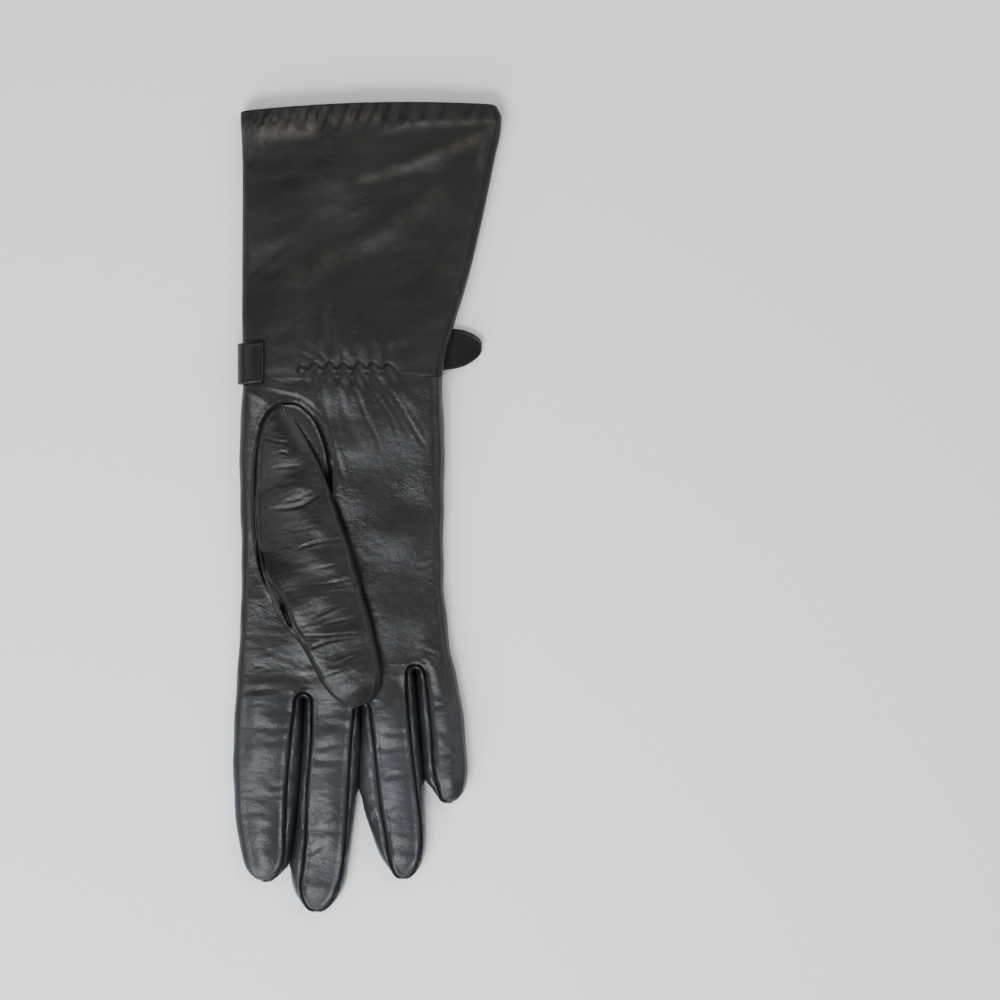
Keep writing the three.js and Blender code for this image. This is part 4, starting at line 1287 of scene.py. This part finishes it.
def cuffRelief(x, y, fromMouth):
    c = cuffForm
    relief = c["waves"] * cuffWaves(x, y) + c["ripples"] * cuffRipples(x, y) + cuffCreases(x, y)
    relief = relief * smoothstep(fromMouth, 2, 9) * smoothstep(y - wristSeam, -0.3, 4)
    relief += gathers(x, y) + elasticRow(x, y)
    # the hem is drawn in a little by its sewing, most on the thumb's side
    drawn = mix(0.4, 1, 1 - smoothstep(x, -2, 18))
    pucker = np.clip(hemPuckers(x + 0.25 * fromMouth, y), -1.4, 1.4) + 0.35 * cuffRipples(y, x)
    relief += c["pucker"] * drawn * pucker * np.exp(-((fromMouth - 4.5) / 4.5) ** 2)
    relief += seamDip(fromMouth - c["hemLine"], "hem")
    # turned edge along the wrist
    return relief + smoothstep(x, 18, 25) * seamDip(y - wristSeam + 0.5, "wristEdge")


def makeCuff():
    c = cuffForm
    spacing = c["spacing"]
    lipY = mouth - c["lip"]
    hemY = mouth - c["hemDepth"]
    outerY = np.concatenate([
        [wristSeam - 0.5, wristSeam - 0.4, wristSeam - 0.15],
        np.arange(wristSeam + 0.2, 59.6, spacing * 0.42),
        np.arange(60, 66, spacing * 0.8),
        np.arange(66, mouth - 10, spacing),
        np.arange(mouth - 10, mouth - 1, spacing * 0.55),
        [lipY],
    ])
    rows = [(y, 0, 1) for y in outerY]  # y, how far in from the outside, and 1 outside to 0 inside
    for a in turn(0, 180, 9)[1:-1]:  # round the turned edge
        rows.append((lipY + c["lip"] * math.sin(a), c["hemWall"] / 2 * (1 - math.cos(a)), 0.5))
    rows += [(y, c["hemWall"], 0) for y in np.linspace(lipY, hemY, 8)]
    rows.append((hemY - 0.25, (c["hemWall"] + c["wall"]) / 2, 0))
    rows += [(y, c["wall"], 0) for y in np.linspace(hemY - 0.3, wristSeam - 0.5, 70)]
    ys, inset, outer = np.array(rows, float).T
    x, z, top = cuffSection(ys, inset)
    y = ys[:, None] * np.ones_like(x)
    fromMouth = mouth - y
    inner = (outer < 1)[:, None]
    z = z + cuffRelief(x, y, fromMouth) * top * np.where(inner & (fromMouth > c["hemDepth"]), 0.9, 1)
    # underside: it drapes on the surface, a little wavy
    bottom = (top <= 0) & (outer[:, None] > 0)
    wave = c["underside"] * (1 + np.sin(0.8 * cuffWaves(x + 50, y)))
    z = z + np.where(bottom, wave * stretch(x, *c["undersideAcross"]) * 0.6, 0)
    y = y + mouthBow(x, y)
    # seam along the right side, a little inside the edge
    seamAway = np.abs(cuffOutline(ys)["right"][:, None] - x - c["sideSeam"])
    z = np.maximum(z + seamDip(seamAway, "cuffSide") * (top > 0.05) * outer[:, None], 0.05)
    grid = np.stack([x, y, z], -1)
    made = makeMesh("cuff_leather", Sheet(np.concatenate([grid, grid[:1]]), wrap=True), cuffLeather)
    # paints the rubbed places and painted highlights on the cuff as an attribute
    spots = np.array([vertex.co[:2] for vertex in made.data.vertices]) / millimetre
    wearAndSheen = np.zeros(len(spots))
    for line, wide, strong in cuffWearAndSheen:
        away = lineDistance(spots[:, 0] - centreShift, spots[:, 1], smoothLine(line))
        wearAndSheen = np.maximum(wearAndSheen, strong * hump(away, wide))
    made.data.attributes.new("wearAndSheen", "FLOAT", "POINT").data.foreach_set("value", wearAndSheen)
    return made


cuff = settle(makeCuff(), "cuff_leather", "cuff")
print("cuff made", len(cuff.data.polygons))

strapForm = {
    "thick": 2,
    "width": 16.6,
    "endX": -41,  # sewn end, on the palm
    "tipX": 45.8,
    "point": 15.8,  # length of the pointed end
    "bendX": -45.1,  # middle of the bend round the thumb side of the wrist
    "bendZ": 8.3,
    "bendRadius": 6,
    "lineFrom": (-46, 57.3),  # its middle line
    "lineTo": (38, 63.5),
    "columns": 25,
    "sink": 0.2,  # how much thinner it is between its edges
    "groove": 0.16,  # where the stitches lie
    "stitchIn": 1.6,
}
# How much of the strap's width is left, by the distance from its tip
strapPoint = smoothTable(["share"], [
    [0, 0.14], [1.5, 0.48], [4.3, 0.72], [7.8, 0.9], [11.8, 0.98], [15.8, 1],
], 0)
keeperForm = {
    "thick": 1,
    "width": 8,
    "x": 14,
    "reach": 9.5,  # from the strap's middle line to the middle of each upright
    "top": 3.3,
    "corner": 0.9,
    "columns": 9,
    "sink": 0,
    "groove": 0,
    "stitchIn": 1,
}


def strapMiddle(x):
    (fromX, fromY), (toX, toY) = strapForm["lineFrom"], strapForm["lineTo"]
    return fromY + (toY - fromY) * (x - fromX) / (toX - fromX)


# A flat strip of leather with rounded edges. A station has its middle, the way out of its face,
# the way across, half its width, and how much of its thickness is left.
def sweepStrip(stations, band):
    thick = band["thick"]
    rows = []
    for middle, out, across, half, depth in stations:
        edge = min(thick / 2, half * 0.6)
        flat = half - edge
        profile = []
        for side in (1, -1):
            for v in np.linspace(-side, side, band["columns"]):
                inside = flat - abs(v) * flat
                rise = thick / 2 * (1 - band["sink"] * (1 - hump(inside, 1)))
                rise = rise - band["groove"] * hump(inside + edge - band["stitchIn"], 0.35)
                profile.append((v * flat, side * rise))
            for a in turn(0, 180, 9)[1:-1]:
                profile.append((side * (flat + edge * math.sin(a)), side * thick / 2 * math.cos(a)))
        rows.append([middle + across * p + out * q * depth for p, q in profile])
    return Sheet(rows, wrap=True)


def makeStrap():
    f = strapForm
    across = np.array([0, 1.0, 0])
    stations = []

    def add(x, angle, share=1, depth=1):
        a = math.radians(angle)
        out = np.array([-math.sin(a), 0, math.cos(a)])
        middle = np.array([x, 0, f["bendZ"]]) + out * f["bendRadius"]
        middle[1] = strapMiddle(middle[0])
        stations.append((middle, out, across, f["width"] / 2 * share, depth))

    for inward, depth in ((0, 0.02), (0.12, 0.5), (0.4, 0.85), (0.9, 1)):
        add(f["endX"] - inward, 0, depth=depth)
    for x in np.linspace(f["endX"] - 1.6, f["bendX"], 4)[:-1]:
        add(x, 0)
    for angle in np.linspace(0, 180, 29):
        add(f["bendX"], angle)
    for x in np.linspace(f["bendX"], f["tipX"] - f["point"], 62)[1:]:
        add(x, 180)
    for fromTip in f["point"] * np.linspace(1, 0, 30)[1:] ** 2:
        depth = math.sqrt(1 - (1 - min(fromTip / 1.2, 1)) ** 2)
        add(f["tipX"] - fromTip, 180, float(strapPoint(fromTip)["share"]), max(depth, 0.02))
    return makeMesh("strap_leather", sweepStrip(stations, f), strapLeather)


# From the top of one upright, under the strap, to the top of the other
def makeKeeper():
    k = keeperForm
    centreY = strapMiddle(k["x"])
    low = k["thick"] / 2
    corner = k["corner"]
    across = np.array([1.0, 0, 0])
    stations = []

    def add(y, z, angle, depth=1):
        a = math.radians(angle)
        out = np.array([0, math.sin(a), -math.cos(a)])
        stations.append((np.array([k["x"], centreY + y, z]), out, across, k["width"] / 2, depth))

    def upright(side):
        ends = [(k["top"] - down, depth) for down, depth in ((0, 0.02), (0.1, 0.5), (0.35, 0.85), (0.7, 1))]
        ends += [(z, 1) for z in np.linspace(k["top"] - 1.1, low + corner, 3)]
        made = [(side * k["reach"], z, side * 90, depth) for z, depth in ends]
        for angle in side * np.linspace(90, 0, 7)[1:]:
            a = math.radians(angle)
            y = side * (k["reach"] - corner + corner * abs(math.sin(a)))
            made.append((y, low + corner - corner * math.cos(a), angle))
        return made

    for place in upright(-1):
        add(*place)
    for y in np.linspace(-k["reach"] + corner, k["reach"] - corner, 20)[1:-1]:
        add(y, low, 0)
    for place in upright(1)[::-1]:
        add(*place)
    return makeMesh("strap_keeper_leather", sweepStrip(stations, k), strapLeather)


strap = settle(makeStrap(), "strap_leather", "strap")
settle(makeKeeper(), "strap_leather", "strap_keeper")
print("strap and keeper made")

stitchForm = {
    "length": 1.5,
    "gap": 0.8,
    "radius": 0.17,
    "sides": 6,
    "rise": 0.12,
    "sunk": 0.04,
    "steepest": 1.2,  # no stitch where the leather climbs more than this under it
}
elasticStitch = dict(stitchForm, length=1.15, gap=0.35, radius=0.2)
stitchRings = [(0, 0.15), (0.12, 0.75), (0.35, 1), (0.65, 1), (0.88, 0.75), (1, 0.15)]  # share, width


def skinOf(*pieces):
    points, faces = [], []
    for piece in pieces:
        first = len(points)
        points += [v.co[:] for v in piece.data.vertices]
        faces += [[first + k for k in p.vertices] for p in piece.data.polygons]
    return BVHTree.FromPolygons(points, faces)


# Height in millimetres where a plumb line from above, or one from below, first meets the leather
def surfaceAt(skin, x, y, above=True):
    start = Vector(((x + centreShift) * millimetre, y * millimetre, 0.06 if above else -0.02))
    hit = skin.ray_cast(start, Vector((0, 0, -1 if above else 1)))[0]
    return hit.z / millimetre if hit else None


def evenly(line, step):
    line = np.array(line, float)
    lengths = np.concatenate([[0], np.cumsum(np.hypot(*(line[1:] - line[:-1]).T))])
    places = np.arange(0, lengths[-1], step)
    return np.stack([np.interp(places, lengths, column) for column in line.T], -1)


def sewLine(sheet, skin, line, above=True, stitch=stitchForm):
    starts = evenly(line, stitch["length"] + stitch["gap"])
    for a, b in zip(starts[:-1], starts[1:]):
        way = (b - a) / np.hypot(*(b - a))
        end = a + way * stitch["length"]
        startZ, endZ = (surfaceAt(skin, *place, above) for place in (a, end))
        if startZ is None or endZ is None or abs(startZ - endZ) > stitch["steepest"]:
            continue
        side = np.array([-way[1], way[0]])
        up = 1 if above else -1
        rings = []
        for share, width in stitchRings:
            centre = mix(a, end, share)
            lift = stitch["rise"] * math.sin(math.pi * share) - stitch["sunk"]
            z = mix(startZ, endZ, share) + up * lift
            ring = []
            for k in range(stitch["sides"]):
                angle = 2 * math.pi * k / stitch["sides"]
                flat = centre + side * math.cos(angle) * stitch["radius"] * width
                ring.append((*flat, z + math.sin(angle) * stitch["radius"] * width))
            rings.append(ring)
        sheet.add(rings, wrap=True)


def strapEdges(fromX, toX):
    xs = np.linspace(fromX, toX, 60)
    share = strapPoint(strapForm["tipX"] - xs)["share"]
    reach = np.maximum(strapForm["width"] / 2 * share - strapForm["stitchIn"], 0)
    return [np.stack([xs, strapMiddle(xs) + side * reach], -1) for side in (-1, 1)]


def makeStitches():
    seams, zigzag, bands = Sheet(), Sheet(), Sheet()
    upper = skinOf(hand, thumb, cuff, *sideStrips.values())
    for path in slotPaths.values():
        sewLine(seams, upper, path)
    # the thumb's seam where it shows: down the left side to where the thumb comes free, and down the right
    holeDown, holeUp = holeSides()
    sewLine(seams, upper, [place for place in holeDown if place[1] > -17])
    sewLine(seams, upper, [place for place in holeUp if place[1] > 10])
    sewLine(zigzag, upper, elasticLine, stitch=elasticStitch)
    strapSkin = skinOf(strap)
    for line in strapEdges(-49.5, strapForm["endX"]) + strapEdges(20, 44.4):
        sewLine(bands, strapSkin, line)
    for line in strapEdges(-47, 44.4):
        sewLine(bands, strapSkin, line, above=False)
    return {"seam_stitches": seams, "elastic_stitches": zigzag, "strap_stitches": bands}


for stitchName, stitchSheet in makeStitches().items():
    settle(makeMesh(stitchName, stitchSheet, blackThread), "thread")
print("stitches sewn")

studio = {
    "cameraHeight": 1.6,
    "frameWidth": 0.4,  # how much of the floor the picture shows
    "cameraPlace": (0.0531, 0.0026),
    "gloveTop": 0.008,  # height at which that width holds
    "sensor": 36,
    "worldGrey": 0.95,
    "worldStrength": 0.25,
    "floorGrey": 0.92,
    "floorReach": 2.5,
    "floorDrop": 0.0002,  # how far it lies below the glove
}
lamps = [  # name, place, aim, size, power, colour
    ("softbox", (-0.2, -0.42, 0.78), (0, -0.06, 0), (0.5, 0.3), 7.5, (0.94, 0.97, 1)),
    ("windowLight", (-0.55, -1.15, 0.55), (0, -0.05, 0), (0.8, 0.5), 13, (0.92, 0.96, 1)),
    ("leftStrip", (-0.95, 0.1, 0.8), (0, 0, 0), (0.25, 0.9), 2.5, (1, 0.98, 0.95)),
    ("rightStrip", (1, 0.1, 0.9), (0, 0, 0), (0.25, 0.9), 3.5, (1, 0.98, 0.95)),
    ("fill", (0.5, 0.9, 1.1), (0, 0, 0), (1.2, 0.8), 8, (1, 0.97, 0.93)),
]

world = bpy.data.worlds.new("studio")
world.use_nodes = True
sky = world.node_tree.nodes["Background"]
sky.inputs["Color"].default_value = (studio["worldGrey"],) * 3 + (1,)
sky.inputs["Strength"].default_value = studio["worldStrength"]
bpy.context.scene.world = world

paper, _, setPaper = startMaterial("paper")
setPaper({"Base Color": (studio["floorGrey"],) * 3 + (1,), "Roughness": 0.9, "Specular IOR Level": 0.1})
floorMesh = bpy.data.meshes.new("paper")
far = studio["floorReach"]
floorMesh.from_pydata([(-far, -far, 0), (far, -far, 0), (far, far, 0), (-far, far, 0)], [], [(0, 1, 2, 3)])
floorMesh.materials.append(paper)
floor = addObject("paper", floorMesh)
floor.location.z = -studio["floorDrop"]

for lampName, place, aim, lampSize, power, lampColour in lamps:
    light = bpy.data.lights.new(lampName, "AREA")
    light.shape = "RECTANGLE"
    light.size, light.size_y = lampSize
    light.energy = power
    light.color = lampColour
    lamp = addObject(lampName, light)
    lamp.location = place
    lamp.visible_camera = False
    lamp.rotation_euler = (Vector(aim) - Vector(place)).to_track_quat("-Z", "Y").to_euler()

cameraData = bpy.data.cameras.new("camera")
camera = addObject("camera", cameraData)
camera.location = (*studio["cameraPlace"], studio["cameraHeight"])
cameraData.sensor_width = studio["sensor"]
distance = studio["cameraHeight"] - studio["gloveTop"]
cameraData.lens = studio["sensor"] * distance / studio["frameWidth"]
bpy.context.scene.camera = camera
print("studio ready")
